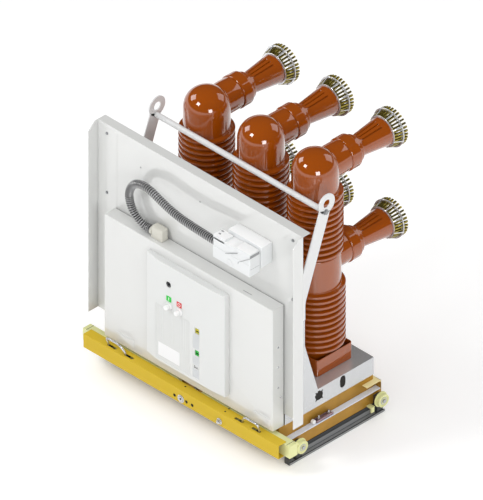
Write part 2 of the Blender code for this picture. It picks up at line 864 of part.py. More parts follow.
def build_roller_bracket(side):
    """Bracket on the slide bar with two pins and a small roller."""
    name = "roller_bracket_" + side_name(side)
    low = LEDGE_Z + 2.0 * GAP + BAR_T
    middle = side * (TRUCK_X_IN + LEDGE / 2.0)
    half = 0.0070
    base = boxes(name, ((middle - half, middle + half), (-0.1280, -0.0570), (low, low + 0.0080)))
    bracket = shape(name, "purple_zinc", base)
    pins = rods(
        name + "_pins",
        "Z",
        10,
        ((middle, -0.1080, low + 0.0110), 0.0030, 0.0140),
        ((middle, -0.0700, low + 0.0110), 0.0030, 0.0140),
    )
    roller = rods(
        name + "_roller",
        "X",
        12,
        ((middle, -0.1290, low + 0.0065), 0.0062, 0.0100),
    )
    return add(bracket, tool(name + "_pins", pins), tool(name + "_roller", roller))


def build_interlock_lever():
    """Flat lever that lies across the right rail."""
    low = RAIL_H + GAP
    span = (TRUCK_X_OUT + GAP, RAIL_X_OUT + 0.0010)
    rear = WHEEL_YS[1] - WHEEL_RIM_R - 2.0 * RUN
    flat = (span, (rear - 0.0120, rear), (low, low + 0.0050))
    hook = ((span[1] - 0.0050, span[1]), flat[1], (low - 0.0120, low + 0.0030))
    lever = shape("interlock_lever", "cream", boxes("interlock_lever", flat))
    return add(lever, tool("lever_hook", boxes("lever_hook", hook)))


def build_nut():
    """Nut of the racking screw behind the truck's front wall."""
    front = TRUCK_Y0 + TRUCK_SHEET + GAP
    half = NUT_HALF
    block = boxes(
        "screw_nut",
        (both(half), (front, front + NUT_LENGTH), (SCREW_Z - half, SCREW_Z + half)),
    )
    nut = shape("screw_nut", "steel", block)
    bore = rods(
        "nut_bore",
        "Y",
        16,
        ((0.0, front + NUT_LENGTH / 2.0, SCREW_Z), round_hole_r(SCREW_R + NUT_FIT, 16), 2.0 * NUT_LENGTH),
    )
    return cut(nut, tool("nut_bore", bore))


def build_screw():
    """Racking screw with its collar and a square socket in front."""
    web_back = BEAM_Y0 + SHEET + GAP
    front = TRUCK_Y0 + TRUCK_SHEET + GAP
    rear = front + NUT_LENGTH + BEAM_TRAVEL - NUT_LENGTH / 2.0
    points = (
        (0.0, rear),
        (SCREW_R, rear),
        (SCREW_R, web_back + SCREW_COLLAR),
        (SCREW_COLLAR_R, web_back + SCREW_COLLAR),
        (SCREW_COLLAR_R, web_back),
        (SCREW_R, web_back),
        (SCREW_R, SCREW_FRONT),
        (0.0, SCREW_FRONT),
    )
    screw = lathe("lead_screw", "steel", points, "Y", 16, (0.0, 0.0, SCREW_Z))
    half = SCREW_SOCKET_R / math.sqrt(2.0)
    socket = boxes(
        "screw_socket",
        (
            both(half),
            (SCREW_FRONT - FUSE, SCREW_FRONT + SCREW_SOCKET),
            (SCREW_Z - half, SCREW_Z + half),
        ),
    )
    return cut(screw, tool("screw_socket", socket))


def build_beam():
    """Front beam of the racking truck, a channel open to the rear."""
    shell = boxes("beam", (both(BEAM_X), (BEAM_Y0, BEAM_Y1), (BEAM_Z0, BEAM_Z1)))
    beam = shape("beam", "beam_yellow", shell)
    room = boxes(
        "beam_room",
        (
            both(BEAM_X + FUSE),
            (BEAM_Y0 + SHEET, BEAM_Y1 + FUSE),
            (BEAM_Z0 + SHEET, BEAM_Z1 - SHEET),
        ),
    )
    cut(beam, tool("beam_room", room))
    spans = []
    width = HANDLE_R + RUN
    for side in (-1.0, 1.0):
        for leg in HANDLE_XS:
            inner = leg - TONGUE_TRAVEL - width
            spans.append(
                (
                    sided(side, inner, leg + width),
                    (HANDLE_Y - width, HANDLE_Y + width),
                    (BEAM_Z1 - 2.0 * SHEET, BEAM_Z1 + FUSE),
                )
            )
    cut(beam, tool("beam_slots", boxes("beam_slots", *spans)))
    holes = rods(
        "beam_holes",
        "Y",
        12,
        ((0.0, BEAM_Y0, SCREW_Z), round_hole_r(SCREW_R + GAP, 12), 4.0 * SHEET),
        ((STUD_X, BEAM_Y0, SCREW_Z), STUD_R + GAP, 4.0 * SHEET),
    )
    return cut(beam, tool("beam_holes", holes))


def build_stud():
    """Earthing bolt with its nut and washer."""
    back = BEAM_Y0 + SHEET + GAP
    front = BEAM_Y0 - GAP
    points = (
        (0.0, back + 0.0040),
        (STUD_R, back + 0.0040),
        (STUD_R, front),
        (0.0100, front),
        (0.0100, front - 0.0020),
        (0.0068, front - 0.0020),
        (0.0068, front - 0.0065),
        (STUD_R, front - 0.0065),
        (STUD_R, front - STUD_OUT),
        (0.0, front - STUD_OUT),
    )
    return lathe("earthing_stud", "steel", points, "Y", 12, (STUD_X, 0.0, SCREW_Z))


def build_tongue(side):
    """Locking tongue that slides out of the end of the beam."""
    name = "tongue_" + side_name(side)
    span = sided(side, TONGUE_IN, TONGUE_X)
    block = boxes(name, (span, (TONGUE_Y0, TONGUE_Y1), (TONGUE_Z0, TONGUE_Z1)))
    return shape(name, "cream", block)


def build_handle(side):
    """Wire handle of a locking tongue."""
    name = "handle_" + side_name(side)
    near = side * HANDLE_XS[0]
    far = side * HANDLE_XS[1]
    foot = TONGUE_Y0 - GAP
    slot_top = BEAM_Z1 + 0.0030
    path = (
        (near, foot, HANDLE_LOW_Z),
        (near, HANDLE_Y, HANDLE_LOW_Z),
        (near, HANDLE_Y, slot_top),
        (side * HANDLE_TOP_XS[0], HANDLE_TOP_Y, HANDLE_TOP_Z),
        (side * HANDLE_TOP_XS[1], HANDLE_TOP_Y, HANDLE_TOP_Z),
        (far, HANDLE_Y, slot_top),
        (far, HANDLE_Y, HANDLE_LOW_Z),
        (far, foot, HANDLE_LOW_Z),
    )
    return tube_piece(name, "steel", path, HANDLE_R, 2)


def build_panel():
    """Front panel sheet with its side flanges and top flange."""
    sheet = SHEET
    outline = (
        (PANEL_Y + sheet, PANEL_Z0),
        (FLANGE_Y, PANEL_Z0),
        (FLANGE_Y, PANEL_Z1 - FLANGE_CUT),
        (FLANGE_Y + FLANGE_CUT, PANEL_Z1),
        (PANEL_Y + TOP_FLANGE, PANEL_Z1),
        (PANEL_Y + TOP_FLANGE, PANEL_Z1 - sheet),
        (PANEL_Y + sheet, PANEL_Z1 - sheet),
    )
    body = prism("front_panel", "X", outline, -PANEL_X, PANEL_X)
    panel = shape("front_panel", "white", body)
    front = boxes(
        "panel_front",
        (
            both(PANEL_X - sheet),
            (FLANGE_Y - FUSE, PANEL_Y),
            (PANEL_Z0 - FUSE, PANEL_Z1 + FUSE),
        ),
    )
    opening = boxes(
        "panel_opening",
        (
            both(OPENING_X),
            (PANEL_Y - FUSE, PANEL_Y + 2.0 * sheet),
            (OPENING_Z0, OPENING_Z1),
        ),
    )
    return cut(panel, tool("panel_front", front), tool("panel_opening", opening))


def build_housing():
    """Housing of the drive, open in front and below."""
    front = PANEL_Y + SHEET + GAP
    outline = (
        (front, HOUSE_Z0),
        (BOX_Y1, HOUSE_Z0),
        (BOX_Y1, BOX_TOP),
        (HOUSE_Y_LOW, BOX_TOP),
        (HOUSE_Y_TOP, HOUSE_BEND_Z),
        (HOUSE_Y_TOP, HOUSE_TOP),
        (front, HOUSE_TOP),
    )
    body = prism("housing", "X", outline, -HOUSE_X, HOUSE_X)
    housing = shape("housing", "housing", body)
    sheet = SHEET
    room_outline = (
        (front - FUSE, HOUSE_Z0 - FUSE),
        (BOX_Y1 - sheet, HOUSE_Z0 - FUSE),
        (BOX_Y1 - sheet, BOX_TOP - sheet),
        (HOUSE_Y_LOW - sheet * 1.4, BOX_TOP - sheet),
        (HOUSE_Y_TOP - sheet, HOUSE_BEND_Z - sheet * 0.3),
        (HOUSE_Y_TOP - sheet, HOUSE_TOP - sheet),
        (front - FUSE, HOUSE_TOP - sheet),
    )
    room = prism("housing_room", "X", room_outline, -HOUSE_X + sheet, HOUSE_X - sheet)
    cut(housing, tool("housing_room", room))
    rod_holes = rods(
        "rod_holes",
        "Z",
        12,
        ((-POLE_PITCH, 0.0, BOX_TOP), ROD_R + 0.0040, 4.0 * sheet),
        ((0.0, 0.0, BOX_TOP), ROD_R + 0.0040, 4.0 * sheet),
        ((POLE_PITCH, 0.0, BOX_TOP), ROD_R + 0.0040, 4.0 * sheet),
    )
    cut(housing, tool("rod_holes", rod_holes))
    cross = boxes(
        "cross_hole",
        (both(HOUSE_X + FUSE), (CROSS_Y - 0.0150, CROSS_Y + 0.0150), SIDE_SPAN),
        (
            both(HOUSE_X + FUSE),
            (CROSS_Y - 0.0050, CROSS_Y + 0.0050),
            (SIDE_HOLE_Z - 0.0150, SIDE_HOLE_Z + 0.0150),
        ),
    )
    round_hole = rods(
        "round_hole",
        "X",
        8,
        ((0.0, CROSS_Y, SIDE_HOLE_Z), 0.0115, 2.0 * HOUSE_X + 2.0 * FUSE),
    )
    slot = boxes(
        "oval_slot",
        (
            both(HOUSE_X + FUSE),
            (SLOT_Y - 0.0105, SLOT_Y + 0.0105),
            (SIDE_HOLE_Z - 0.0100, SIDE_HOLE_Z + 0.0100),
        ),
    )
    slot_ends = rods(
        "oval_slot_ends",
        "X",
        8,
        ((0.0, SLOT_Y, SIDE_HOLE_Z - 0.0095), 0.0105, 2.0 * HOUSE_X + 2.0 * FUSE),
        ((0.0, SLOT_Y, SIDE_HOLE_Z + 0.0095), 0.0105, 2.0 * HOUSE_X + 2.0 * FUSE),
    )
    for label, mesh in (
        ("round_hole", round_hole),
        ("oval_slot", slot),
        ("oval_slot_ends", slot_ends),
    ):
        cut(housing, tool(label, mesh))
    cross_tool = tool("cross_hole", cross)
    return cut(housing, cross_tool)


def build_cover():
    """Cover of the drive, open to the rear, with holes for the controls."""
    shell = boxes(
        "front_cover",
        (both(HOUSE_X), (COVER_Y0, COVER_Y1), (COVER_Z0, COVER_Z1)),
    )
    cover = shape("front_cover", "white", shell)
    sheet = SHEET
    room = boxes(
        "cover_room",
        (
            both(HOUSE_X - sheet),
            (COVER_Y0 + sheet, COVER_Y1 + FUSE),
            (COVER_Z0 + sheet, COVER_Z1 - sheet),
        ),
    )
    cut(cover, tool("cover_room", room))
    depth = 4.0 * sheet
    holes = rods(
        "cover_holes",
        "Y",
        12,
        ((BUTTON_XS[0], COVER_Y0, BUTTON_Z), BUTTON_STEM_R + RUN, depth),
        ((BUTTON_XS[1], COVER_Y0, BUTTON_Z), BUTTON_STEM_R + RUN, depth),
        ((CHARGE_X, COVER_Y0, CHARGE_Z), round_hole_r(CHARGE_R + GAP, 12), depth),
    )
    cut(cover, tool("cover_holes", holes))
    half = FLAG_STEM_R + RUN
    slots = boxes(
        "flag_slots",
        *[
            (
                (FLAG_X - half, FLAG_X + half),
                (COVER_Y0 - FUSE, COVER_Y0 + depth),
                (level - FLAG_TRAVEL / 2.0 - half, level + FLAG_TRAVEL / 2.0 + half),
            )
            for level in (STATE_Z, SPRING_Z)
        ],
    )
    return cut(cover, tool("flag_slots", slots))


def build_fascia():
    """Moulded fascia with button collars, windows and the charging hole."""
    outer = [(x, FASCIA_Y - proud) for x, proud in FASCIA_PLAN]
    body = prism("fascia", "Z", outer, FASCIA_Z0, FASCIA_Z1)
    fascia = shape("fascia", "fascia", body)
    collars = rods(
        "button_collars",
        "Y",
        12,
        *[
            (
                (button_x, FASCIA_INNER - (FASCIA_WALL + BUTTON_COLLAR) / 2.0, BUTTON_Z),
                BUTTON_COLLAR_R,
                FASCIA_WALL + BUTTON_COLLAR,
            )
            for button_x in BUTTON_XS
        ],
    )
    add(fascia, tool("button_collars", collars))
    wall = FASCIA_WALL
    inner = (
        (FASCIA_PLAN[0][0] + wall, FASCIA_Y + FUSE),
        (FASCIA_PLAN[1][0] + wall, FASCIA_Y - FASCIA_PLAN[1][1] + 0.6 * wall),
        (FASCIA_PLAN[2][0] + 0.2 * wall, FASCIA_INNER),
        (FASCIA_PLAN[3][0], FASCIA_INNER),
        (FASCIA_PLAN[4][0] - wall, FASCIA_Y - FASCIA_PLAN[4][1] + wall),
        (FASCIA_PLAN[5][0] - wall, FASCIA_Y + FUSE),
    )
    room = prism("fascia_room", "Z", inner, FASCIA_Z0 + wall, FASCIA_Z1 - wall)
    cut(fascia, tool("fascia_room", room))
    reach = 4.0 * BUTTON_OUT
    holes = rods(
        "fascia_holes",
        "Y",
        12,
        ((BUTTON_XS[0], FASCIA_FRONT, BUTTON_Z), BUTTON_R + 2.0 * GAP, reach),
        ((BUTTON_XS[1], FASCIA_FRONT, BUTTON_Z), BUTTON_R + 2.0 * GAP, reach),
        ((CHARGE_X, FASCIA_FRONT, CHARGE_Z), round_hole_r(CHARGE_R + GAP, 12), reach),
    )
    cut(fascia, tool("fascia_holes", holes))
    spans = []
    for middle_x, middle_z, window in (
        (FLAG_X, STATE_Z, FLAG_WINDOW),
        (FLAG_X, SPRING_Z, FLAG_WINDOW),
        (COUNTER_X, COUNTER_Z, COUNTER_WINDOW),
    ):
        spans.append(
            (
                (middle_x - window[0] / 2.0, middle_x + window[0] / 2.0),
                (FASCIA_FRONT - FUSE, FASCIA_INNER + FUSE),
                (middle_z - window[1] / 2.0, middle_z + window[1] / 2.0),
            )
        )
    return cut(fascia, tool("fascia_windows", boxes("fascia_windows", *spans)))


def build_button(name, colour, button_x):
    """Push button with a shoulder behind the fascia."""
    tip = FASCIA_FRONT - BUTTON_OUT
    seat = FASCIA_INNER + GAP
    points = (
        (0.0, BUTTON_REAR - tip),
        (BUTTON_STEM_R, BUTTON_REAR - tip),
        (BUTTON_STEM_R, seat + 0.0030 - tip),
        (BUTTON_R + 0.0020, seat + 0.0030 - tip),
        (BUTTON_R + 0.0020, seat - tip),
        (BUTTON_R, seat - tip),
        (BUTTON_R, 0.0015),
        (BUTTON_R - 0.0015, 0.0),
        (0.0, 0.0),
    )
    return lathe(name, colour, points, "Y", 12, (button_x, tip, BUTTON_Z))


def build_charging_shaft():
    """Charging shaft with a hexagon socket and its cam disc."""
    front = FASCIA_FRONT + GAP
    rear = HOUSE_Y_TOP - SHEET - RUN
    points = (
        (0.0, rear),
        (CHARGE_CORE_R, rear),
        (CHARGE_CORE_R, rear - CAM_SET),
        (CAM_R, rear - CAM_SET),
        (CAM_R, rear - CAM_SET - CAM_T),
        (CHARGE_CORE_R, rear - CAM_SET - CAM_T),
        (CHARGE_CORE_R, COVER_Y0 + CAM_SET),
        (CHARGE_R, COVER_Y0 + CAM_SET),
        (CHARGE_R, front),
        (0.0, front),
    )
    shaft = lathe("charging_shaft", "dark_steel", points, "Y", 12, (CHARGE_X, 0.0, CHARGE_Z))
    socket = rods(
        "charging_socket",
        "Y",
        6,
        ((CHARGE_X, front, CHARGE_Z), CHARGE_HEX_R, 2.0 * CHARGE_HEX),
    )
    return cut(shaft, tool("charging_socket", socket))


def build_flag(name, colour, level):
    """Indicator plate behind a window, on a stem that enters the drive."""
    half_w = FLAG_WINDOW[0] / 2.0 + 0.0030
    half_h = (FLAG_TRAVEL + FLAG_WINDOW[1]) / 2.0
    middle = level - FLAG_TRAVEL / 2.0
    front = FASCIA_INNER + RUN
    plate = boxes(
        name,
        (
            (FLAG_X - half_w, FLAG_X + half_w),
            (front, front + FLAG_T),
            (middle - half_h, middle + half_h),
        ),
    )
    flag = shape(name, colour, plate)
    rear = COVER_Y0 + 0.0200
    stem = rods(
        name + "_stem",
        "Y",
        10,
        ((FLAG_X, (front + FLAG_T / 2.0 + rear) / 2.0, middle), FLAG_STEM_R, rear - front),
    )
    return add(flag, tool(name + "_stem", stem))


def build_lifting_bar(side):
    """Flat lifting bar with an eye at its upper end."""
    name = "lifting_bar_" + side_name(side)
    start = side * LIFT_X
    end = side * (LIFT_X + LIFT_T)
    half = LIFT_HALF_W
    lean = math.atan2(EYE_Y - LIFT_KNEE[0], EYE_Z - LIFT_KNEE[1])
    across = (half * math.cos(lean), -half * math.sin(lean))
    outline = (
        (LIFT_FOOT[0] - half, LIFT_FOOT[1]),
        (LIFT_FOOT[0] + half, LIFT_FOOT[1]),
        (LIFT_KNEE[0] + half, LIFT_KNEE[1]),
        (EYE_Y + across[0], EYE_Z + across[1]),
        (EYE_Y - across[0], EYE_Z - across[1]),
        (LIFT_KNEE[0] - half, LIFT_KNEE[1] + half * math.tan(lean)),
    )
    bar = shape(name, "white", prism(name, "X", outline, start, end))
    middle = (start + end) / 2.0
    eye = rods(name + "_eye", "X", 16, ((middle, EYE_Y, EYE_Z), EYE_R, LIFT_T))
    hole = rods(name + "_hole", "X", 16, ((middle, EYE_Y, EYE_Z), EYE_HOLE_R, 4.0 * LIFT_T))
    add(bar, tool(name + "_eye", eye))
    return cut(bar, tool(name + "_hole", hole))


def build_cross_rod():
    """Rod between the two lifting bars."""
    rod = rods(
        "lifting_rod",
        "X",
        16,
        ((0.0, CROSS_ROD_Y, CROSS_ROD_Z), CROSS_ROD_R, 2.0 * (LIFT_X - GAP)),
    )
    return shape("lifting_rod", "white", rod)


def build_elbow():
    """Cable gland on top of the cover."""
    low = COVER_Z1 + GAP
    block = boxes(
        "cable_elbow",
        ((ELBOW_X0 + 0.0080, ELBOW_X1), (ELBOW_Y0, ELBOW_Y1), (low, ELBOW_Z1)),
    )
    elbow = shape("cable_elbow", "gland", block)
    start = CONDUIT_PATH[0]
    neck = rods(
        "elbow_neck",
        "X",
        16,
        ((ELBOW_X0 + 0.0100, start[1], start[2]), ELBOW_NECK_R, 0.0200),
    )
    return add(elbow, tool("elbow_neck", neck))


def build_plug_socket():
    """Socket block of the control plug on the panel."""
    rear = PANEL_Y - GAP
    block = boxes("plug_socket", (SOCKET_X, (HOOD_Y1 + GAP, rear), SOCKET_Z))
    return shape("plug_socket", "white", block)


def build_plug_hood():
    """Hood of the control plug with its raised plates and latch lid."""
    block = boxes("plug_hood", (HOOD_X, (HOOD_Y0 + 0.0040, HOOD_Y1), HOOD_Z))
    hood = shape("plug_hood", "white", block)
    plates = boxes(
        "hood_plates",
        (
            (HOOD_X[0] + 0.0120, HOOD_X[0] + 0.0560),
            (HOOD_Y0, HOOD_Y0 + 0.0080),
            (HOOD_Z[0] + 0.0080, HOOD_Z[1] - 0.0060),
        ),
        (
            (HOOD_X[1] - 0.0700, HOOD_X[1] - 0.0040),
            (HOOD_Y0 + 0.0015, HOOD_Y0 + 0.0080),
            (HOOD_Z[0] + 0.0180, HOOD_Z[1] - 0.0040),
        ),
    )
    add(hood, tool("hood_plates", plates))
    notch = boxes(
        "hood_notch",
        (
            (HOOD_X[1] - 0.0500, HOOD_X[1] + FUSE),
            (HOOD_Y1 - 0.0180, HOOD_Y1 - 0.0080),
            (HOOD_Z[1] - 0.0140, HOOD_Z[1] + FUSE),
        ),
    )
    return cut(hood, tool("hood_notch", notch))


def build_spring():
    """Closing spring between two seats on the rear wall of the housing."""
    rear = HOUSE_Y_TOP - SHEET - GAP
    middle = (SPRING_X, rear - SPRING_BACK)
    low = SPRING_LOW
    high = SPRING_LOW + SPRING_LENGTH
    count = SPRING_TURNS * SPRING_STEPS
    path = []
    for index in range(count + 1):
        share = index / count
        angle = 2.0 * math.pi * SPRING_TURNS * share
        path.append(
            (
                middle[0] + SPRING_R * math.cos(angle),
                middle[1] + SPRING_R * math.sin(angle),
                low + (high - low) * share,
            )
        )
    spring = tube_piece("closing_spring", "dark_steel", path, SPRING_WIRE_R, 0)
    seat = SPRING_R + SEAT_EDGE
    seats = boxes(
        "spring_seats",
        *[
            (
                (middle[0] - seat, middle[0] + seat),
                (middle[1] - seat, rear),
                (level - SEAT_T / 2.0, level + SEAT_T / 2.0),
            )
            for level in (low, high)
        ],
    )
    return add(spring, tool("spring_seats", seats))


def build_motor():
    """Charging motor on a plate at the rear wall of the housing."""
    rear = HOUSE_Y_TOP - SHEET - GAP
    middle = (MOTOR_X, rear - MOTOR_BACK, MOTOR_Z)
    body = rods("charging_motor", "X", 16, (middle, MOTOR_R, MOTOR_LENGTH))
    motor = shape("charging_motor", "motor_grey", body)
    plate = boxes(
        "motor_plate",
        (
            (middle[0] - MOTOR_PLATE_X, middle[0] + MOTOR_PLATE_X),
            (middle[1] + MOTOR_R / 2.0, rear),
            (middle[2] - MOTOR_PLATE_Z, middle[2] + MOTOR_PLATE_Z),
        ),
    )
    return add(motor, tool("motor_plate", plate))


clear_scene()
PARTS = make_collection("vacuum_circuit_breaker")
TOOLS = make_collection("shaping_tools")

build_truck()
build_nut()
build_interlock_lever()
for half in (-1.0, 1.0):
    build_rail(half)
    build_slide_bar(half)
    build_roller_bracket(half)
    build_wheel(half, 0)
    build_wheel(half, 1)
    build_tongue(half)
    build_handle(half)
    build_lifting_bar(half)
build_beam()
build_stud()
build_screw()
build_housing()
build_panel()
build_cover()
build_fascia()
build_button("close_button", "green", BUTTON_XS[0])
build_button("open_button", "red", BUTTON_XS[1])
build_charging_shaft()
build_flag("state_flag", "flag_yellow", STATE_Z)
build_flag("spring_flag", "green", SPRING_Z)
build_cross_rod()
build_elbow()
build_plug_socket()
build_plug_hood()
tube_piece("conduit", "conduit_grey", CONDUIT_PATH, CONDUIT_R, 2)
build_main_shaft()
build_spring()
build_motor()
for pole_index, pole_name in enumerate(("left", "middle", "right")):
    pole_x = (pole_index - 1) * POLE_PITCH
    build_pole("pole_" + pole_name, pole_x)
    build_bottle("interrupter_" + pole_name, pole_x)
    build_pull_rod("pull_rod_" + pole_name, pole_x)
    for level_name, level_z in (("upper", UPPER_Z), ("lower", TERMINAL_Z)):
        build_sleeve("sleeve_" + pole_name + "_" + level_name, pole_x, level_z)
        build_contact("contact_" + pole_name + "_" + level_name, pole_x, level_z)

for item in list(PARTS.objects) + list(TOOLS.objects):
    item.location.y -= MIDDLE_Y
bpy.context.view_layer.update()
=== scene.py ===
"""Dressed model of a withdrawable vacuum circuit breaker on its racking truck.

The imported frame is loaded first. New surfaces are worked out with numpy in
the frame's own metres, and each one rides on the body that carries it.
"""

import math

import bmesh
import bpy
import numpy as np
from bpy.props import FloatProperty
from bpy.props import FloatVectorProperty
from bpy.props import IntProperty
from bpy.props import PointerProperty
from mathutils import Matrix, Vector


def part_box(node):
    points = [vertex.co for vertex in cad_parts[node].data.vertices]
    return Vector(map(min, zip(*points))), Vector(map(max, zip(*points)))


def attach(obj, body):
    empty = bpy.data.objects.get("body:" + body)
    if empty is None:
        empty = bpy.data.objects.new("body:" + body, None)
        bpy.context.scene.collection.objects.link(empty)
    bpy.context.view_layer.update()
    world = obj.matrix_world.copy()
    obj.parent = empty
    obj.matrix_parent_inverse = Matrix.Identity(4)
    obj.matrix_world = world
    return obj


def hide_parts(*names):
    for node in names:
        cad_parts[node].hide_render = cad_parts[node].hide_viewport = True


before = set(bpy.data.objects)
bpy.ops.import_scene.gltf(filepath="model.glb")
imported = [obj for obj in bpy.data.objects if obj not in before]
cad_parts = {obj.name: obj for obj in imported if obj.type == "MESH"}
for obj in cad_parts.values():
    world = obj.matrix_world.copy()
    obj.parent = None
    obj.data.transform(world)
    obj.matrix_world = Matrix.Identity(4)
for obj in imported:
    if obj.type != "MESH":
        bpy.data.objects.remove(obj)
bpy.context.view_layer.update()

bl_info = {
    "name": "Vacuum circuit breaker",
    "version": (1, 0, 0),
    "blender": (4, 5, 0),
    "location": "3D View > Sidebar > Breaker",
    "description": "Builds the dressed surfaces of a withdrawable circuit breaker",
    "category": "Add Mesh",
}

ROOT = "breaker"
MERGE = 0.000002
CREASE = math.radians(32.0)
FOLD = math.radians(36.0)


# Places that several pieces share, in metres

AXIS_Y = 0.0087
POLES = {"left": -0.21, "middle": 0.0, "right": 0.21}
LEVELS = {"upper": 0.7935, "lower": 0.4880}
SIDES = {"left": -1.0, "right": 1.0}


def from_poles(distance):
    """Y of the frame for a distance from the plane of the pole axes."""
    return AXIS_Y + distance


PANEL_FACE = from_poles(-0.2360)
COVER_FACE = from_poles(-0.2808)
FASCIA_FACE = from_poles(-0.3021)
BEAM_FACE = from_poles(-0.3103)
HANDLE_Y = from_poles(-0.2977)
HANDLE_LEGS = (0.2255, 0.2917)
SCREW_LEVEL = 0.0766
BAR_FACE = 0.3303
ARM_BORE = 0.0184
GAP = 0.0003


# Surfaces as whole arrays

def revolve(profile, axis, centre, segments, shape=None):
    """Grid of a turned shape: each profile point (radius, height) is carried
    round the axis, so a point is centre + radius * (cos a, sin a) across the
    axis + height along it. shape(angle, height) scales the radius."""
    outline = np.asarray(profile, float)
    angle = np.linspace(0.0, 2.0 * np.pi, segments, endpoint=False)[:, None]
    radius, height = outline[None, :, 0], outline[None, :, 1]
    if shape is not None:
        radius = radius * shape(angle, height)
    points = lay(radius * np.cos(angle), radius * np.sin(angle), height, axis)
    return points + np.asarray(centre, float), True, False


def sweep(path, radius, sides, across):
    """Grid of a tube: each path point carries a circle of its own radius in
    the plane of a fixed direction across and the cross product with it."""
    points = np.asarray(path, float)
    steps = np.gradient(points, axis=0)
    steps /= np.linalg.norm(steps, axis=1)[:, None]
    reference = np.asarray(across, float)[None, :]
    side = reference - steps * np.sum(steps * reference, axis=1)[:, None]
    side /= np.linalg.norm(side, axis=1)[:, None]
    other = np.cross(steps, side)
    angle = np.linspace(0.0, 2.0 * np.pi, sides, endpoint=False)
    size = np.broadcast_to(np.asarray(radius, float), (len(points),))
    ring = np.cos(angle)[:, None, None] * side + np.sin(angle)[:, None, None] * other
    return points[None] + ring * size[None, :, None], True, False


def capped(grid):
    """Close both ends of a tube's grid by adding the middle of each end ring."""
    points, closed_u, closed_v = grid
    first = np.broadcast_to(points[:, :1].mean(axis=0), points[:, :1].shape)
    last = np.broadcast_to(points[:, -1:].mean(axis=0), points[:, -1:].shape)
    return np.concatenate((first, points, last), axis=1), closed_u, closed_v


def smooth_path(points, count):
    """Points at even chord lengths on the Catmull-Rom curve through a route."""
    knots = np.asarray(points, float)
    ends = np.vstack((2.0 * knots[:1] - knots[1:2], knots, 2.0 * knots[-1:] - knots[-2:-1]))
    steps = 24
    share = np.linspace(0.0, 1.0, steps, endpoint=False)[None, :, None]
    before, start, end, after = ends[:-3, None], ends[1:-2, None], ends[2:-1, None], ends[3:, None]
    dense = 0.5 * (
        2.0 * start
        + (end - before) * share
        + (2.0 * before - 5.0 * start + 4.0 * end - after) * share ** 2
        + (3.0 * start - before - 3.0 * end + after) * share ** 3
    )
    dense = np.vstack((dense.reshape(-1, 3), knots[-1:]))
    gone = np.concatenate(([0.0], np.cumsum(np.linalg.norm(np.diff(dense, axis=0), axis=1))))
    wanted = np.linspace(0.0, gone[-1], count)
    return np.stack([np.interp(wanted, gone, dense[:, axis]) for axis in range(3)], axis=1)


def path_length(points):
    """Length of the line through an array of points."""
    return float(np.linalg.norm(np.diff(points, axis=0), axis=1).sum())


def soft_box(x, y, z, radius, steps=4):
    """Grid of a box between two values in X, Y and Z, with round edges: a sphere's
    eight octants are moved apart, so a point is corner + radius * direction."""
    spans = np.sort(np.array((x, y, z), float), axis=1)
    middle = (spans[:, 0] + spans[:, 1]) / 2.0
    inner = (spans[:, 1] - spans[:, 0]) / 2.0 - radius
    quarter = np.linspace(0.0, np.pi / 2.0, steps + 1)
    around = np.concatenate([quarter + index * np.pi / 2.0 for index in range(4)])[:, None]
    x_sign = np.repeat([1.0, -1.0, -1.0, 1.0], steps + 1)[:, None]
    y_sign = np.repeat([1.0, 1.0, -1.0, -1.0], steps + 1)[:, None]
    rise = np.concatenate((quarter - np.pi / 2.0, quarter))[None, :]
    z_sign = np.repeat([-1.0, 1.0], steps + 1)[None, :]
    flat = np.cos(rise)
    parts = (
        middle[0] + x_sign * inner[0] + radius * np.cos(around) * flat,
        middle[1] + y_sign * inner[1] + radius * np.sin(around) * flat,
        middle[2] + z_sign * inner[2] + radius * np.sin(rise) + 0.0 * around,
    )
    return capped((np.stack(np.broadcast_arrays(*parts), axis=-1), True, False))


def inset_outline(outline, inset):
    """Outline moved inwards by a distance, along the mean of each corner's edge normals."""
    ahead = np.roll(outline, -1, axis=0) - outline
    ahead /= np.linalg.norm(ahead, axis=1)[:, None]
    behind = np.roll(ahead, 1, axis=0)
    across, along = outline.T
    area = np.sum(across * np.roll(along, -1) - along * np.roll(across, -1))
    both = ahead + behind
    normal = np.sign(area) * np.stack((-both[:, 1], both[:, 0]), axis=1)
    share = 1.0 + np.sum(ahead * behind, axis=1)[:, None]
    return outline + inset * normal / share


def lay(first, second, depth, axis):
    """Coordinates (first, second, depth) put in the order of an axis."""
    parts = {
        "X": (depth, first, second),
        "Y": (first, depth, second),
        "Z": (first, second, depth),
    }[axis]
    return np.stack(np.broadcast_arrays(*parts), axis=-1)


def plate(outline, axis, start, end, bevel=0.0004):
    """Grid of a flat plate: its outline carried from start to end along the
    axis, drawn in by the bevel at both faces, and closed to the middle."""
    flat = np.asarray(outline, float)
    drawn = inset_outline(flat, bevel)
    step = bevel * np.sign(end - start)
    middle = np.broadcast_to(drawn.mean(axis=0), drawn.shape)
    rings = [(middle, start), (drawn, start), (flat, start + step)]
    rings += [(flat, end - step), (drawn, end), (middle, end)]
    grids = [lay(ring[:, 0], ring[:, 1], level, axis) for ring, level in rings]
    return np.stack(grids, axis=1), True, False


def polygon(count, radius, middle, turn=0.0):
    """Corners of a regular polygon."""
    angle = turn + np.linspace(0.0, 2.0 * np.pi, count, endpoint=False)
    return np.stack((middle[0] + radius * np.cos(angle), middle[1] + radius * np.sin(angle)), axis=1)


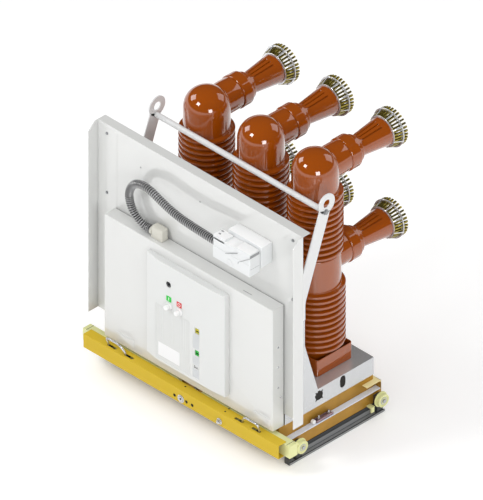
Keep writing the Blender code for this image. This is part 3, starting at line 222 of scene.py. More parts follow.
def round_rect(width, height, radius, middle, steps=6):
    """Corners of a rectangle whose corners are rounded."""
    angle = np.linspace(0.0, np.pi / 2.0, steps)
    angles = np.concatenate([angle + index * np.pi / 2.0 for index in range(4)])
    x_sign = np.repeat([1.0, -1.0, -1.0, 1.0], steps)
    y_sign = np.repeat([1.0, 1.0, -1.0, -1.0], steps)
    x = middle[0] + x_sign * (width / 2.0 - radius) + radius * np.cos(angles)
    y = middle[1] + y_sign * (height / 2.0 - radius) + radius * np.sin(angles)
    return np.stack((x, y), axis=1)


def turned_copies(grid, angles, centre):
    """The same grid turned about a line along Y through the centre."""
    points, closed_u, closed_v = grid
    middle = np.asarray(centre, float)
    copies = []
    for angle in angles:
        cosine, sine = math.cos(angle), math.sin(angle)
        matrix = np.array(((cosine, 0.0, sine), (0.0, 1.0, 0.0), (-sine, 0.0, cosine)))
        copies.append(((points - middle) @ matrix.T + middle, closed_u, closed_v))
    return copies


def grid_faces(rows, columns, closed_u, closed_v):
    """Corner numbers of every face of a grid, as an array of four columns."""
    index = np.arange(rows * columns).reshape(rows, columns)
    if closed_u:
        index = np.vstack((index, index[:1]))
    if closed_v:
        index = np.hstack((index, index[:, :1]))
    corners = (index[:-1, :-1], index[1:, :-1], index[1:, 1:], index[:-1, 1:])
    return np.stack(corners, axis=-1).reshape(-1, 4)


def build_mesh(name, grids):
    """Mesh of several grids, with doubles merged and faces pointing outwards."""
    spots = []
    faces = []
    start = 0
    for points, closed_u, closed_v in grids:
        rows, columns = points.shape[:2]
        spots.append(points.reshape(-1, 3))
        faces.append(grid_faces(rows, columns, closed_u, closed_v) + start)
        start += rows * columns
    mesh = bpy.data.meshes.new(name)
    mesh.from_pydata(np.concatenate(spots).tolist(), [], np.concatenate(faces).tolist())
    data = bmesh.new()
    data.from_mesh(mesh)
    bmesh.ops.remove_doubles(data, verts=data.verts, dist=MERGE)
    bmesh.ops.dissolve_degenerate(data, edges=data.edges, dist=MERGE)
    bmesh.ops.recalc_face_normals(data, faces=data.faces)
    data.to_mesh(mesh)
    data.free()
    mesh.polygons.foreach_set("use_smooth", np.ones(len(mesh.polygons), bool))
    mesh.set_sharp_from_angle(angle=CREASE)
    return mesh


def set_in_scene(name, mesh, finish, body, replaced):
    """Put a mesh in the scene, give it its finish and let it ride."""
    mesh.materials.append(bpy.data.materials["finish_" + finish])
    item = bpy.data.objects.new(name, mesh)
    bpy.context.scene.collection.objects.link(item)
    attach(item, body)
    if replaced:
        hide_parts(*replaced)
    return item


def piece(name, grids, finish, body, replaced=()):
    """New piece of the visual model, made of one or more grids."""
    return set_in_scene(name, build_mesh(name, grids), finish, body, replaced)


def dress(finish, *names):
    """Give CAD nodes that stay in view their finish."""
    for name in names:
        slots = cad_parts[name].data.materials
        slots.clear()
        slots.append(bpy.data.materials["finish_" + finish])


# Finishes

def add_node(tree, kind, **values):
    """A new shader node with its settings, and its sockets set by name."""
    node = tree.nodes.new(kind)
    for key, value in values.items():
        if key.startswith("in_"):
            node.inputs[key[3:].replace("_", " ")].default_value = value
        else:
            setattr(node, key, value)
    return node


def set_inputs(node, values):
    """Set several sockets of a node by their names."""
    for name, value in values.items():
        node.inputs[name].default_value = value


def surface_group():
    """Node group for the slow drift of a colour and the fine grain of a surface.

    Colour drifts to Shade with slow noise. Roughness runs from Smooth to Rough,
    and Height is fine noise, both on the object's own coordinates times Stretch.
    """
    tree = bpy.data.node_groups.new("surface_grain", "ShaderNodeTree")
    sockets = {
        "INPUT": {
            "Color": ("Colour", "Shade"),
            "Float": ("Drift", "Grain", "Smooth", "Rough"),
            "Vector": ("Stretch",),
        },
        "OUTPUT": {"Color": ("Colour",), "Float": ("Roughness", "Height")},
    }
    for way, kinds in sockets.items():
        for kind, names in kinds.items():
            for name in names:
                socket_type = "NodeSocket" + kind
                tree.interface.new_socket(name=name, in_out=way, socket_type=socket_type)
    given = tree.nodes.new("NodeGroupInput")
    result = tree.nodes.new("NodeGroupOutput")
    place = tree.nodes.new("ShaderNodeTexCoord")
    slow = add_node(tree, "ShaderNodeTexNoise", in_Detail=3.0)
    stretch = add_node(tree, "ShaderNodeVectorMath", operation="MULTIPLY")
    fine = add_node(tree, "ShaderNodeTexNoise", in_Detail=4.0)
    mix = add_node(tree, "ShaderNodeMix", data_type="RGBA")
    gloss = add_node(tree, "ShaderNodeMapRange")
    link = tree.links.new
    link(place.outputs["Object"], slow.inputs["Vector"])
    link(given.outputs["Drift"], slow.inputs["Scale"])
    link(place.outputs["Object"], stretch.inputs[0])
    link(given.outputs["Stretch"], stretch.inputs[1])
    link(stretch.outputs[0], fine.inputs["Vector"])
    link(given.outputs["Grain"], fine.inputs["Scale"])
    link(slow.outputs["Fac"], mix.inputs[0])
    link(given.outputs["Colour"], mix.inputs[6])
    link(given.outputs["Shade"], mix.inputs[7])
    link(fine.outputs["Fac"], gloss.inputs["Value"])
    link(given.outputs["Smooth"], gloss.inputs["To Min"])
    link(given.outputs["Rough"], gloss.inputs["To Max"])
    link(mix.outputs[2], result.inputs["Colour"])
    link(gloss.outputs["Result"], result.inputs["Roughness"])
    link(fine.outputs["Fac"], result.inputs["Height"])
    return tree


def colour_of(value, share=1.0):
    """Four numbers of a colour, darkened by a share."""
    return (value[0] * share, value[1] * share, value[2] * share, 1.0)


def make_finish(
    name, colour, shade=0.9, gloss=(0.3, 0.4), metallic=0.0, coat=0.0, drift=9.0, grain=900.0,
    stretch=(1.0, 1.0, 1.0), bump=0.05, shine=0.5, clear=1.5,
):
    """Principled material whose colour, roughness and bump come from the grain group."""
    made = bpy.data.materials.new("finish_" + name)
    made.use_nodes = True
    tree = made.node_tree
    shader = tree.nodes["Principled BSDF"]
    surface = {"Metallic": metallic, "Specular IOR Level": shine}
    surface |= {"Coat IOR": clear, "Coat Weight": coat, "Coat Roughness": 0.03}
    set_inputs(shader, surface)
    grains = tree.nodes.new("ShaderNodeGroup")
    grains.node_tree = bpy.data.node_groups["surface_grain"]
    set_inputs(grains, {"Colour": colour_of(colour), "Shade": colour_of(colour, shade)})
    set_inputs(grains, {"Drift": drift, "Grain": grain, "Stretch": stretch})
    set_inputs(grains, {"Smooth": gloss[0], "Rough": gloss[1]})
    relief = add_node(tree, "ShaderNodeBump", in_Strength=bump, in_Distance=0.0004)
    link = tree.links.new
    link(grains.outputs["Colour"], shader.inputs["Base Color"])
    link(grains.outputs["Roughness"], shader.inputs["Roughness"])
    link(grains.outputs["Height"], relief.inputs["Height"])
    link(relief.outputs["Normal"], shader.inputs["Normal"])
    return made


# Sizes and colours that a user would change

class PoleSizes(bpy.types.PropertyGroup):
    """Sizes of the poles, sleeves and finger contacts."""

    segments: IntProperty(
        name="Pole segments", description="Faces round each pole", default=120, min=24
    )
    rib_count: IntProperty(
        name="Ribs", description="Ribs in each of the two stacks of a pole", default=11, min=1
    )
    rib_pitch: FloatProperty(
        name="Rib pitch", description="Height from one rib to the next", default=0.0183,
        unit="LENGTH",
    )
    groove_depth: FloatProperty(
        name="Groove depth", description="Depth of the grooves on the bell of a sleeve",
        default=0.0036, unit="LENGTH",
    )
    fingers: IntProperty(
        name="Fingers", description="Contact fingers in each cluster", default=32, min=8
    )
    finger_width: FloatProperty(
        name="Finger width", description="Width of one contact finger", default=0.0056,
        unit="LENGTH",
    )


class CableSizes(bpy.types.PropertyGroup):
    """Sizes of the control cable's conduit."""

    diameter: FloatProperty(
        name="Conduit diameter", description="Outer diameter over the corrugations", default=0.0246,
        unit="LENGTH",
    )
    wave: FloatProperty(
        name="Corrugation pitch", description="Length of one corrugation", default=0.0074,
        unit="LENGTH",
    )
    wave_depth: FloatProperty(
        name="Corrugation depth", description="Depth of the corrugations", default=0.0026,
        unit="LENGTH",
    )


class FinishColours(bpy.types.PropertyGroup):
    """Colours of the breaker's finishes."""

    epoxy: FloatVectorProperty(
        name="Epoxy", description="Cast epoxy of the poles", subtype="COLOR",
        default=(0.330, 0.066, 0.002),
    )
    panel: FloatVectorProperty(
        name="Panel paint", description="Powder coat of the front panel and the cover",
        subtype="COLOR", default=(0.695, 0.70, 0.685),
    )
    housing: FloatVectorProperty(
        name="Housing", description="Coated steel of the drive's housing", subtype="COLOR",
        default=(0.70, 0.715, 0.73),
    )
    beam: FloatVectorProperty(
        name="Beam paint", description="Yellow paint of the racking beam", subtype="COLOR",
        default=(0.66, 0.46, 0.030),
    )
    truck: FloatVectorProperty(
        name="Truck", description="Yellow zinc of the truck body", subtype="COLOR",
        default=(0.55, 0.29, 0.036),
    )
    cream: FloatVectorProperty(
        name="Tongues and wheels", description="Pale yellow zinc of the tongues and wheels",
        subtype="COLOR", default=(0.80, 0.81, 0.40),
    )


class StageSizes(bpy.types.PropertyGroup):
    """Camera and light of the stage."""

    view_height: FloatProperty(
        name="View height", description="Height that the picture covers", default=1.3695,
        unit="LENGTH",
    )
    key_power: FloatProperty(
        name="Main lamp", description="Power of the main lamp", default=21.5, unit="POWER"
    )
    fill_power: FloatProperty(
        name="Side lamp", description="Power of the side lamp", default=16.0, unit="POWER"
    )
    world_level: FloatProperty(
        name="Surrounding light", description="Strength of the even light", default=0.68
    )
    floor_lift: FloatProperty(
        name="Floor lift", description="Glow that brings the floor to white", default=0.16
    )


def paint_conduit_light_and_shade():
    """Paint light and shade onto the conduit: its colour runs from a painted dark shade in the grooves
    to a light grey on the crests, which paints their highlights.
    """
    # painted shade: the dark colour laid into the grooves of the corrugation
    groove = (0.035, 0.035, 0.035, 1.0)
    tree = bpy.data.materials["finish_conduit_plastic"].node_tree
    colour = tree.nodes["Principled BSDF"].inputs["Base Color"]
    crest = colour.links[0].from_socket
    ridge = add_node(tree, "ShaderNodeAttribute", attribute_name="ridge")
    mix = add_node(tree, "ShaderNodeMix", data_type="RGBA")
    mix.inputs[6].default_value = groove
    tree.links.new(ridge.outputs["Fac"], mix.inputs[0])
    tree.links.new(crest, mix.inputs[7])
    tree.links.new(mix.outputs[2], colour)


class BREAKER_OT_finishes(bpy.types.Operator):
    """Make every finish of the breaker"""

    bl_idname = "breaker.finishes"
    bl_label = "Finishes"

    def execute(self, context):
        colours = context.scene.breaker_colours
        surface_group()
        make_finish(
            "epoxy", colours.epoxy, 0.94, (0.08, 0.12), coat=1.0, bump=0.003, shine=0.2, clear=1.75
        )
        enamel = {"coat": 1.0, "clear": 1.9, "grain": 1600.0, "bump": 0.02}
        make_finish("panel_paint", colours.panel, 0.98, (0.34, 0.42), **enamel)
        make_finish("cover_paint", colours.panel, 0.98, (0.34, 0.42), **enamel)
        make_finish("bar_paint", (0.76, 0.765, 0.765), 0.97, (0.30, 0.38), coat=0.6, bump=0.02)
        make_finish("fascia_plastic", (0.72, 0.73, 0.72), 0.98, (0.36, 0.44), bump=0.02, coat=0.6)
        make_finish("field_plastic", (0.68, 0.69, 0.675), 0.98, (0.36, 0.44), bump=0.02, coat=0.6)
        make_finish("strip_plastic", (0.62, 0.64, 0.65), 0.97, (0.36, 0.44), bump=0.02)
        make_finish("plug_plastic", (0.745, 0.76, 0.765), 0.98, (0.26, 0.34), bump=0.02, coat=0.3)
        make_finish("seam_rubber", (0.16, 0.165, 0.17), 0.90, (0.50, 0.60))
        make_finish("housing_coat", colours.housing, 0.95, (0.22, 0.30), 0.6, grain=700.0)
        make_finish("beam_paint", colours.beam, 0.95, (0.40, 0.48), coat=0.05, shine=0.15)
        make_finish("truck_zinc", colours.truck, 0.60, (0.26, 0.42), 0.4, drift=22.0, grain=700.0)
        # a paler copy of the truck's zinc: painted light for the flanges at the truck's rear
        make_finish("truck_zinc_painted_light", (0.98, 0.84, 0.42), 0.90, (0.26, 0.40), drift=26.0)
        make_finish("cream_zinc", colours.cream, 0.93, (0.24, 0.36), 0.15, drift=20.0)
        make_finish(
            "bright_steel", (0.66, 0.66, 0.68), 0.90, (0.18, 0.34), 0.9, stretch=(1.0, 0.06, 1.0)
        )
        make_finish("slide_steel", (0.84, 0.88, 0.97), 0.94, (0.24, 0.36))
        make_finish("hub_steel", (0.52, 0.53, 0.55), 0.90, (0.24, 0.36), 0.2)
        make_finish("screw_steel", (0.34, 0.35, 0.36), 0.85, (0.24, 0.36), 0.3)
        make_finish("dark_steel", (0.050, 0.053, 0.057), 0.80, (0.34, 0.50), 0.2)
        # lighter greys painted on the dark rails: a painted reflection on the web, painted light on the
        # foot and the lip
        make_finish("rail_grey_painted_light", (0.30, 0.305, 0.31), 0.94, (0.34, 0.46), 0.1)
        make_finish("lip_steel_painted_light", (0.26, 0.27, 0.27), 0.85, (0.30, 0.44), 0.3)
        make_finish("purple_zinc", (0.42, 0.29, 0.33), 0.70, (0.20, 0.34), 0.6, drift=60.0)
        make_finish("silver_plate", (0.84, 0.85, 0.88), 0.90, (0.16, 0.30), 0.6, drift=40.0)
        make_finish("finger_brass", (0.44, 0.35, 0.07), 0.60, (0.16, 0.28), 0.85, drift=70.0)
        make_finish("spring_steel", (0.22, 0.22, 0.24), 0.85, (0.20, 0.34), 0.9)
        # the conduit's light grey crests and painted dark grooves paint the light and shade of its
        # corrugations
        make_finish("conduit_plastic", (0.50, 0.50, 0.505), 0.90, (0.16, 0.24), 0.3, coat=0.8)
        paint_conduit_light_and_shade()
        make_finish("gland_plastic", (0.65, 0.635, 0.56), 0.94, (0.30, 0.42), coat=0.5)
        make_finish("green_plastic", (0.010, 0.60, 0.050), 0.90, (0.24, 0.34))
        make_finish("red_plastic", (0.72, 0.020, 0.020), 0.90, (0.24, 0.34))
        make_finish("yellow_mark", (0.66, 0.60, 0.02), 0.92, (0.40, 0.50))
        # black_mark serves printed marks, and also the painted shade inside the beam's holes and slots
        # and the tongue's groove
        make_finish("black_mark", (0.012, 0.012, 0.013), 0.80, (0.50, 0.60), shine=0.1)
        # painted shade for openings whose dark inside is not modelled
        make_finish("hole_painted_shade", (0.035, 0.032, 0.030), 0.90, (0.60, 0.70), shine=0.1)
        # white_mark also lies on the plug's top faces as painted light
        make_finish("white_mark", (0.88, 0.88, 0.88), 0.98, (0.40, 0.50))
        make_finish("ceramic", (0.78, 0.77, 0.73), 0.95, (0.10, 0.18), coat=0.8)
        make_finish("rod_laminate", (0.50, 0.20, 0.08), 0.80, (0.40, 0.55), stretch=(1, 1, 0.1))
        make_finish("motor_paint", (0.28, 0.29, 0.31), 0.90, (0.34, 0.44))
        return {"FINISHED"}


# Poles, sleeves and contacts

def soft_step(value, start, end):
    """Smooth rise from 0 to 1 between two values."""
    share = np.clip((value - start) / (end - start), 0.0, 1.0)
    return share * share * (3.0 - 2.0 * share)


def rib_stack(top, core, outer, sizes):
    """Profile of a stack of ribs, from the top down: the radius rises to the
    outer radius near the top of each pitch, stays, and falls back to the core."""
    rise, fall = (0.02, 0.26), (0.60, 0.88)
    crown_start, crown_length, crown_swell = 0.1, 0.65, 0.07
    share = np.linspace(0.0, 1.0, 25)[:-1]
    swell = soft_step(share, *rise) * (1.0 - soft_step(share, *fall))
    along = np.clip((share - crown_start) / crown_length, 0.0, 1.0)
    crown = 1.0 - crown_swell + crown_swell * np.sin(np.pi * along)
    radius = core + (outer - core) * swell * crown
    drops = (np.arange(sizes.rib_count)[:, None] + share[None]).reshape(-1) * sizes.rib_pitch
    return np.stack((np.tile(radius, sizes.rib_count), top - drops), axis=1)


def fillet(centre, radius, start, end, steps=8):
    """Points of an arc in a profile, from one angle to another in degrees."""
    angle = np.radians(np.linspace(start, end, steps))
    return np.stack((centre[0] + radius * np.cos(angle), centre[1] + radius * np.sin(angle)), axis=1)


def pole_profile(sizes):
    """Profile of a pole from the top down: dome, upper ribs, a step out to the
    belt, lower ribs, and the end that stands hidden in the tray."""
    core, belt, foot = 0.0660, 0.0723, 0.0640
    upper_rib, lower_rib = 0.0786, 0.0842
    upper_top, lower_top, collar = 0.7335, 0.4285, 0.0015
    dome, dome_flatness = 0.7920, 0.90
    step, step_edge = 0.5322, 0.0030
    end, taper, floor = 0.2272, 0.0032, 0.1900
    angle = np.linspace(np.pi / 2.0, 0.0, 28)
    cap = core * np.stack((np.cos(angle), np.sin(angle)), axis=1) ** dome_flatness + (0.0, dome)
    cap[0, 0] = 0.0
    parts = [
        cap,
        [(core, 0.7400), (core, upper_top + collar)],
        rib_stack(upper_top, core, upper_rib, sizes),
        [(core, step)],
        fillet((belt - step_edge, step - step_edge), step_edge, 90.0, 0.0),
        [(belt, 0.4500), (belt, lower_top + collar)],
        rib_stack(lower_top, belt, lower_rib, sizes),
        [(belt, end), (foot, end - taper), (foot, floor), (0.0, floor)],
    ]
    return np.vstack(parts)


def arm_profile():
    """Profile of the arm tube of a pole, from its hidden start to its end."""
    radius, edge, end = 0.0479, 0.0015, 0.0985
    corner = fillet((radius - edge, end - edge), edge, 0.0, 90.0, 5)
    start = [(0.0, 0.0), (radius, 0.0), (radius, 0.0700)]
    return np.vstack((start, corner, [(ARM_BORE, end), (0.0, end)]))


def foot_tray(pole_x):
    """Grid of the tray at the foot of a pole: one rounded rectangle, carried up
    the outer side, over the thin rim and down to the floor inside."""
    width, depth, corner = 0.1532, 0.1368, 0.0085
    rows = (
        (0.0010, 0.1694), (0.0, 0.1704), (0.0, 0.2220), (0.0005, 0.2228), (0.0013, 0.2230),
        (0.0022, 0.2228), (0.0028, 0.2220), (0.0034, 0.1950), (0.0060, 0.1915),
    )
    rings = []
    for inset, level in rows:
        size = (width - 2.0 * inset, depth - 2.0 * inset)
        outline = round_rect(*size, corner - inset, (pole_x, AXIS_Y), 7)
        rings.append(lay(outline[:, 0], outline[:, 1], level, "Z"))
    return capped((np.stack(rings, axis=1), True, False))


class BREAKER_OT_poles(bpy.types.Operator):
    """Build the ribbed epoxy poles with their feet and arm tubes"""

    bl_idname = "breaker.poles"
    bl_label = "Poles"

    def execute(self, context):
        sizes = context.scene.breaker_poles
        outline = pole_profile(sizes)
        for label, pole_x in POLES.items():
            grids = [revolve(outline, "Z", (pole_x, AXIS_Y, 0.0), sizes.segments)]
            for level in LEVELS.values():
                grids.append(revolve(arm_profile(), "Y", (pole_x, AXIS_Y, level), 72))
            grids.append(foot_tray(pole_x))
            piece("epoxy_pole_" + label, grids, "epoxy", ROOT, ("pole_" + label,))
        return {"FINISHED"}


def sleeve_profile():
    """Profile of a sleeve: collar, shoulder, neck and bell, then the inner side."""
    neck, flare, flare_power = 0.0322, 0.0112, 1.1
    seat, bell_start, bell_end, lip = 0.0989, 0.1620, 0.2572, 0.0014
    share = np.linspace(0.0, 1.0, 60)
    length = bell_start + (bell_end - bell_start) * share
    outer = np.stack((neck + flare * share ** flare_power, length), axis=1)
    return np.vstack(
        (
            [(ARM_BORE, seat), (0.0440, seat)],
            fillet((0.0460, 0.1036), 0.0045, -84.0, 0.0, 7),
            [(0.0505, 0.1060), (0.0505, 0.1280)],
            fillet((0.0482, 0.1322), 0.0023, 0.0, 82.0, 6),
            [(0.0436, 0.1350), (0.0430, 0.1360), (0.0424, 0.1460)],
            fillet((0.0398, 0.1480), 0.0024, 0.0, 70.0, 5),
            [(0.0330, 0.1540), (neck, 0.1560)],
            outer,
            fillet((neck + flare - lip, bell_end), lip, 0.0, 180.0, 7),
            [(0.0395, 0.2500), (0.0270, 0.1750), (ARM_BORE, 0.1700), (ARM_BORE, seat)],
        )
    )


class BREAKER_OT_sleeves(bpy.types.Operator):
    """Build the bell shaped sleeves with their grooves"""

    bl_idname = "breaker.sleeves"
    bl_label = "Arm sleeves"

    def execute(self, context):
        bell = 0.0350
        depth = context.scene.breaker_poles.groove_depth / bell
        start, end = (0.1620, 0.1680), (0.2350, 0.2410)
        places = [60.0 + 20.0 * index for index in range(4)]
        floor, edge = math.radians(1.8), math.radians(3.6)

        def grooves(angle, height):
            """Share of the radius that the grooves leave: four long grooves on
            top and four below, each a smooth trough along the bell."""
            share = np.ones_like(height)
            along = soft_step(height, *start) * (1.0 - soft_step(height, *end))
            for middle in places + [180.0 + place for place in places]:
                turn = angle - math.radians(middle)
                away = np.abs(np.arctan2(np.sin(turn), np.cos(turn)))
                share = share - depth * along * (1.0 - soft_step(away, floor, edge))
            return share

        for label, pole_x in POLES.items():
            for place_name, level in LEVELS.items():
                grid = revolve(sleeve_profile(), "Y", (pole_x, AXIS_Y, level), 216, grooves)
                name = label + "_" + place_name
                piece("epoxy_sleeve_" + name, [grid], "epoxy", ROOT, ("sleeve_" + name,))
        return {"FINISHED"}


def finger_outline():
    """Side view of one contact finger as (radius, distance along the arm)."""
    return np.array(
        (
            (0.0400, 0.2600), (0.0490, 0.2600), (0.0512, 0.2680), (0.0520, 0.2740),
            (0.0535, 0.2800), (0.0553, 0.2850), (0.0570, 0.2895), (0.0580, 0.2950),
            (0.0584, 0.2990), (0.0578, 0.3024), (0.0556, 0.3034), (0.0530, 0.2985),
            (0.0500, 0.2940), (0.0478, 0.2880), (0.0474, 0.2760), (0.0460, 0.2690),
            (0.0420, 0.2660), (0.0400, 0.2650),
        )
    )


def finger_grids(pole_x, level, count, width):
    """Grid of every finger of a cluster at once: the side view is laid across
    the finger's width with its edges drawn in, then turned round the arm."""
    edge = 0.0005
    outline = finger_outline()
    drawn = inset_outline(outline, edge)
    middle = np.broadcast_to(outline.mean(axis=0), outline.shape)
    half = width / 2.0
    rings = ((middle, -half), (drawn, -half), (outline, -half + edge))
    rings += ((outline, half - edge), (drawn, half), (middle, half))
    flat = np.stack([lay(ring[:, 0], ring[:, 1], offset, "Z") for ring, offset in rings], axis=1)
    grids = []
    for angle in np.linspace(0.0, 2.0 * np.pi, count, endpoint=False):
        cosine, sine = math.cos(angle), math.sin(angle)
        x = flat[..., 0] * cosine - flat[..., 2] * sine
        z = flat[..., 0] * sine + flat[..., 2] * cosine
        spot = np.stack((pole_x + x, AXIS_Y + flat[..., 1], level + z), axis=-1)
        grids.append((spot, True, False))
    return grids


def ring_profile(inner, outer, start, end, edge):
    """Closed profile of a flat ring with bevelled edges."""
    return (
        (inner, start), (outer - edge, start), (outer, start + edge), (outer, end - edge),
        (outer - edge, end), (inner, end), (inner, start),
    )


def spring_ring(pole_x, level, radius, thick, distance):
    """Garter spring round the fingers: a ring whose thickness swells and
    shrinks along the way round, as the turns of a wound wire do."""
    turns, swell = 128, 0.14
    angle = np.linspace(0.0, 2.0 * np.pi, 3 * turns, endpoint=False)[:, None]
    round_wire = np.linspace(0.0, 2.0 * np.pi, 10, endpoint=False)[None, :]
    size = thick * (1.0 - swell + swell * np.cos(angle * turns))
    reach = radius + size * np.cos(round_wire)
    depth = AXIS_Y + distance + size * np.sin(round_wire)
    points = lay(pole_x + reach * np.cos(angle), level + reach * np.sin(angle), depth, "Y")
    return points, True, True


class BREAKER_OT_contacts(bpy.types.Operator):
    """Build the contact arms and their clusters of fingers"""

    bl_idname = "breaker.contacts"
    bl_label = "Finger contacts"

    def execute(self, context):
        for label, pole_x in POLES.items():
            for end, level in LEVELS.items():
                self.cluster(label + "_" + end, pole_x, level, context.scene.breaker_poles)
        return {"FINISHED"}

    def cluster(self, name, pole_x, level, sizes):
        """Fingers, their cage and spring, and the arm that carries them."""
        centre = (pole_x, AXIS_Y, level)
        fingers = finger_grids(pole_x, level, sizes.fingers, sizes.finger_width)
        piece("fingers_" + name, fingers, "finger_brass", ROOT)
        rear = ring_profile(0.0400, 0.0480, 0.2590, 0.2602, 0.0003)
        front = ring_profile(0.0552, 0.0596, 0.2838, 0.2864, 0.0004)
        cage = [revolve(ring, "Y", centre, 120) for ring in (rear, front)]
        cage += self.cage_strips(centre)
        piece("contact_cage_" + name, cage, "silver_plate", ROOT)
        springs = [spring_ring(pole_x, level, 0.0530, 0.0012, 0.2815)]
        piece("garter_springs_" + name, springs, "spring_steel", ROOT)
        arm = [
            (0.0, 0.0180), (0.0175, 0.0180), (0.0175, 0.2350), (0.0300, 0.2480), (0.0385, 0.2560),
            (0.0398, 0.2600), (0.0398, 0.2700), (0.0388, 0.2715), (0.0270, 0.2715),
            (0.0262, 0.2690), (0.0110, 0.2690), (0.0100, 0.2700), (0.0, 0.2700),
        ]
        head = polygon(6, 0.0085, (pole_x, level))
        bolt = plate(head, "Y", from_poles(0.2690), from_poles(0.2760))
        grids = [revolve(arm, "Y", centre, 72), bolt]
        item = "contact_arm_" + name
        piece(item, grids, "silver_plate", ROOT, ("contact_" + name,))

    def cage_strips(self, centre):
        """Eight strips of the cage, which lean out as the fingers do."""
        distance, lean, first, count = 0.2735, 0.45, 17.0, 8
        outline = round_rect(0.0040, 0.0278, 0.0006, (centre[0], from_poles(distance)), 3)
        low, high = centre[2] + 0.0532, centre[2] + 0.0544
        points, closed_u, closed_v = plate(outline, "Z", low, high, 0.0003)
        points[..., 2] += (points[..., 1] - AXIS_Y - distance) * lean
        angles = [math.radians(first + 360.0 / count * index) for index in range(count)]
        return turned_copies((points, closed_u, closed_v), angles, centre)


# Helpers for bent wire, rounded plates and copies of flat sided nodes

def round_corners(points, radius, steps):
    """Path whose corners are replaced by short smooth arcs, each a quadratic curve
    between the points a radius before and after its corner."""
    knots = np.asarray(points, float)
    before, corners, after = knots[:-2], knots[1:-1], knots[2:]
    back = before - corners
    ahead = after - corners
    back_length = np.linalg.norm(back, axis=1)[:, None]
    ahead_length = np.linalg.norm(ahead, axis=1)[:, None]
    reach = np.minimum(radius, 0.45 * np.minimum(back_length, ahead_length))
    start = corners + back / back_length * reach
    end = corners + ahead / ahead_length * reach
    share = np.linspace(0.0, 1.0, steps)[None, :, None]
    arcs = (1.0 - share) ** 2 * start[:, None] + 2.0 * share * (1.0 - share) * corners[:, None]
    arcs = (arcs + share ** 2 * end[:, None]).reshape(-1, knots.shape[1])
    return np.vstack((knots[:1], arcs, knots[-1:]))


def soft_plate(outline, axis, start, end, radius, steps=4):
    """Grid of a flat plate whose two faces meet its rim in round edges: rings of
    the outline, drawn in by radius * (1 - sin t) at a depth of radius * (1 - cos t)."""
    flat = np.asarray(outline, float)
    turn = np.linspace(0.0, np.pi / 2.0, steps + 1)
    insets = radius * (1.0 - np.sin(turn))
    depths = radius * (1.0 - np.cos(turn)) * np.sign(end - start)
    rings = [(inset_outline(flat, inset), start + depth) for inset, depth in zip(insets, depths)]
    rings += [
        (inset_outline(flat, inset), end - depth)
        for inset, depth in zip(insets[::-1], depths[::-1])
    ]
    first = np.broadcast_to(rings[0][0].mean(axis=0), flat.shape)
    rings = [(first, start)] + rings + [(first, end)]
    grids = [lay(ring[:, 0], ring[:, 1], level, axis) for ring, level in rings]
    return np.stack(grids, axis=1), True, False


def rim_frame(outline, axis, start, end, width):
    """Grid of a frame: a closed ridge that follows an outline, with a flat top
    and sloped sides, from start on the wall to end in front of it."""
    flat = np.asarray(outline, float)
    edge = abs(end - start) * 0.5
    rings = ((0.0, start), (edge, end), (width - edge, end), (width, start))
    grids = []
    for inset, level in rings:
        ring = inset_outline(flat, inset)
        grids.append(lay(ring[:, 0], ring[:, 1], level, axis))
    return np.stack(grids, axis=1), True, True


def disc(axis, centre, radius, start, end, edge=0.0004, segments=40):
    """Grid of a round plate with a small round edge at its far face."""
    step = math.copysign(edge, end - start)
    outline = [(0.0, start), (radius, start), (radius, end - step)]
    outline += [(radius - edge * 0.3, end - step * 0.3), (radius - edge, end), (0.0, end)]
    return revolve(outline, axis, centre, segments)


def softened(name, node, finish, body, width=0.0006, steps=2):
    """Surface that repeats a flat sided node, with its edges rounded off."""
    data = bmesh.new()
    data.from_mesh(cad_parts[node].data)
    bmesh.ops.remove_doubles(data, verts=data.verts, dist=0.00001)
    bmesh.ops.dissolve_limit(
        data, angle_limit=math.radians(0.5), verts=data.verts, edges=data.edges
    )
    mesh = bpy.data.meshes.new(name)
    data.to_mesh(mesh)
    data.free()
    mesh.materials.clear()
    mesh.polygons.foreach_set("material_index", np.zeros(len(mesh.polygons), int))
    mesh.polygons.foreach_set("use_smooth", np.ones(len(mesh.polygons), bool))
    mesh.set_sharp_from_angle(angle=FOLD)
    item = set_in_scene(name, mesh, finish, body, (node,))
    bevel = item.modifiers.new("soft_edges", "BEVEL")
    bevel.width = width
    bevel.segments = steps
    bevel.limit_method = "ANGLE"
    bevel.angle_limit = FOLD
    bevel.harden_normals = True


def fasteners(spots, axis, level, head, height, sides, washer=0.0):
    """Grids of screw heads on a wall: polygon heads, each on its own washer when a washer radius is
    given.
    """
    washer_height, turn = 0.0008, 0.3
    grids = []
    for first, second in spots:
        start = level
        if washer:
            start = level + math.copysign(washer_height, height)
            centre = lay(np.array(first), np.array(second), np.array(0.0), axis)
            grids.append(disc(axis, centre, washer, level, start, 0.0002))
        outline = polygon(sides, head, (first, second), turn)
        grids.append(plate(outline, axis, start, start + height, 0.0004))
    return grids


# Control cable

CABLE_ROUTE = (
    (-0.1683, -0.2550, 0.5325), (-0.1850, -0.2550, 0.5325), (-0.1993, -0.2577, 0.5375),
    (-0.2198, -0.2606, 0.5514), (-0.2360, -0.2637, 0.5751), (-0.2430, -0.2672, 0.6102),
    (-0.2381, -0.2693, 0.6372), (-0.2247, -0.2711, 0.6610), (-0.2050, -0.2726, 0.6760),
    (-0.1744, -0.2749, 0.6835), (-0.1445, -0.2778, 0.6815), (-0.1100, -0.2812, 0.6737),
    (-0.0671, -0.2854, 0.6654), (-0.0243, -0.2894, 0.6612), (0.0180, -0.2931, 0.6608),
    (0.0604, -0.2967, 0.6620), (0.0986, -0.2995, 0.6625), (0.1307, -0.2995, 0.6625),
)


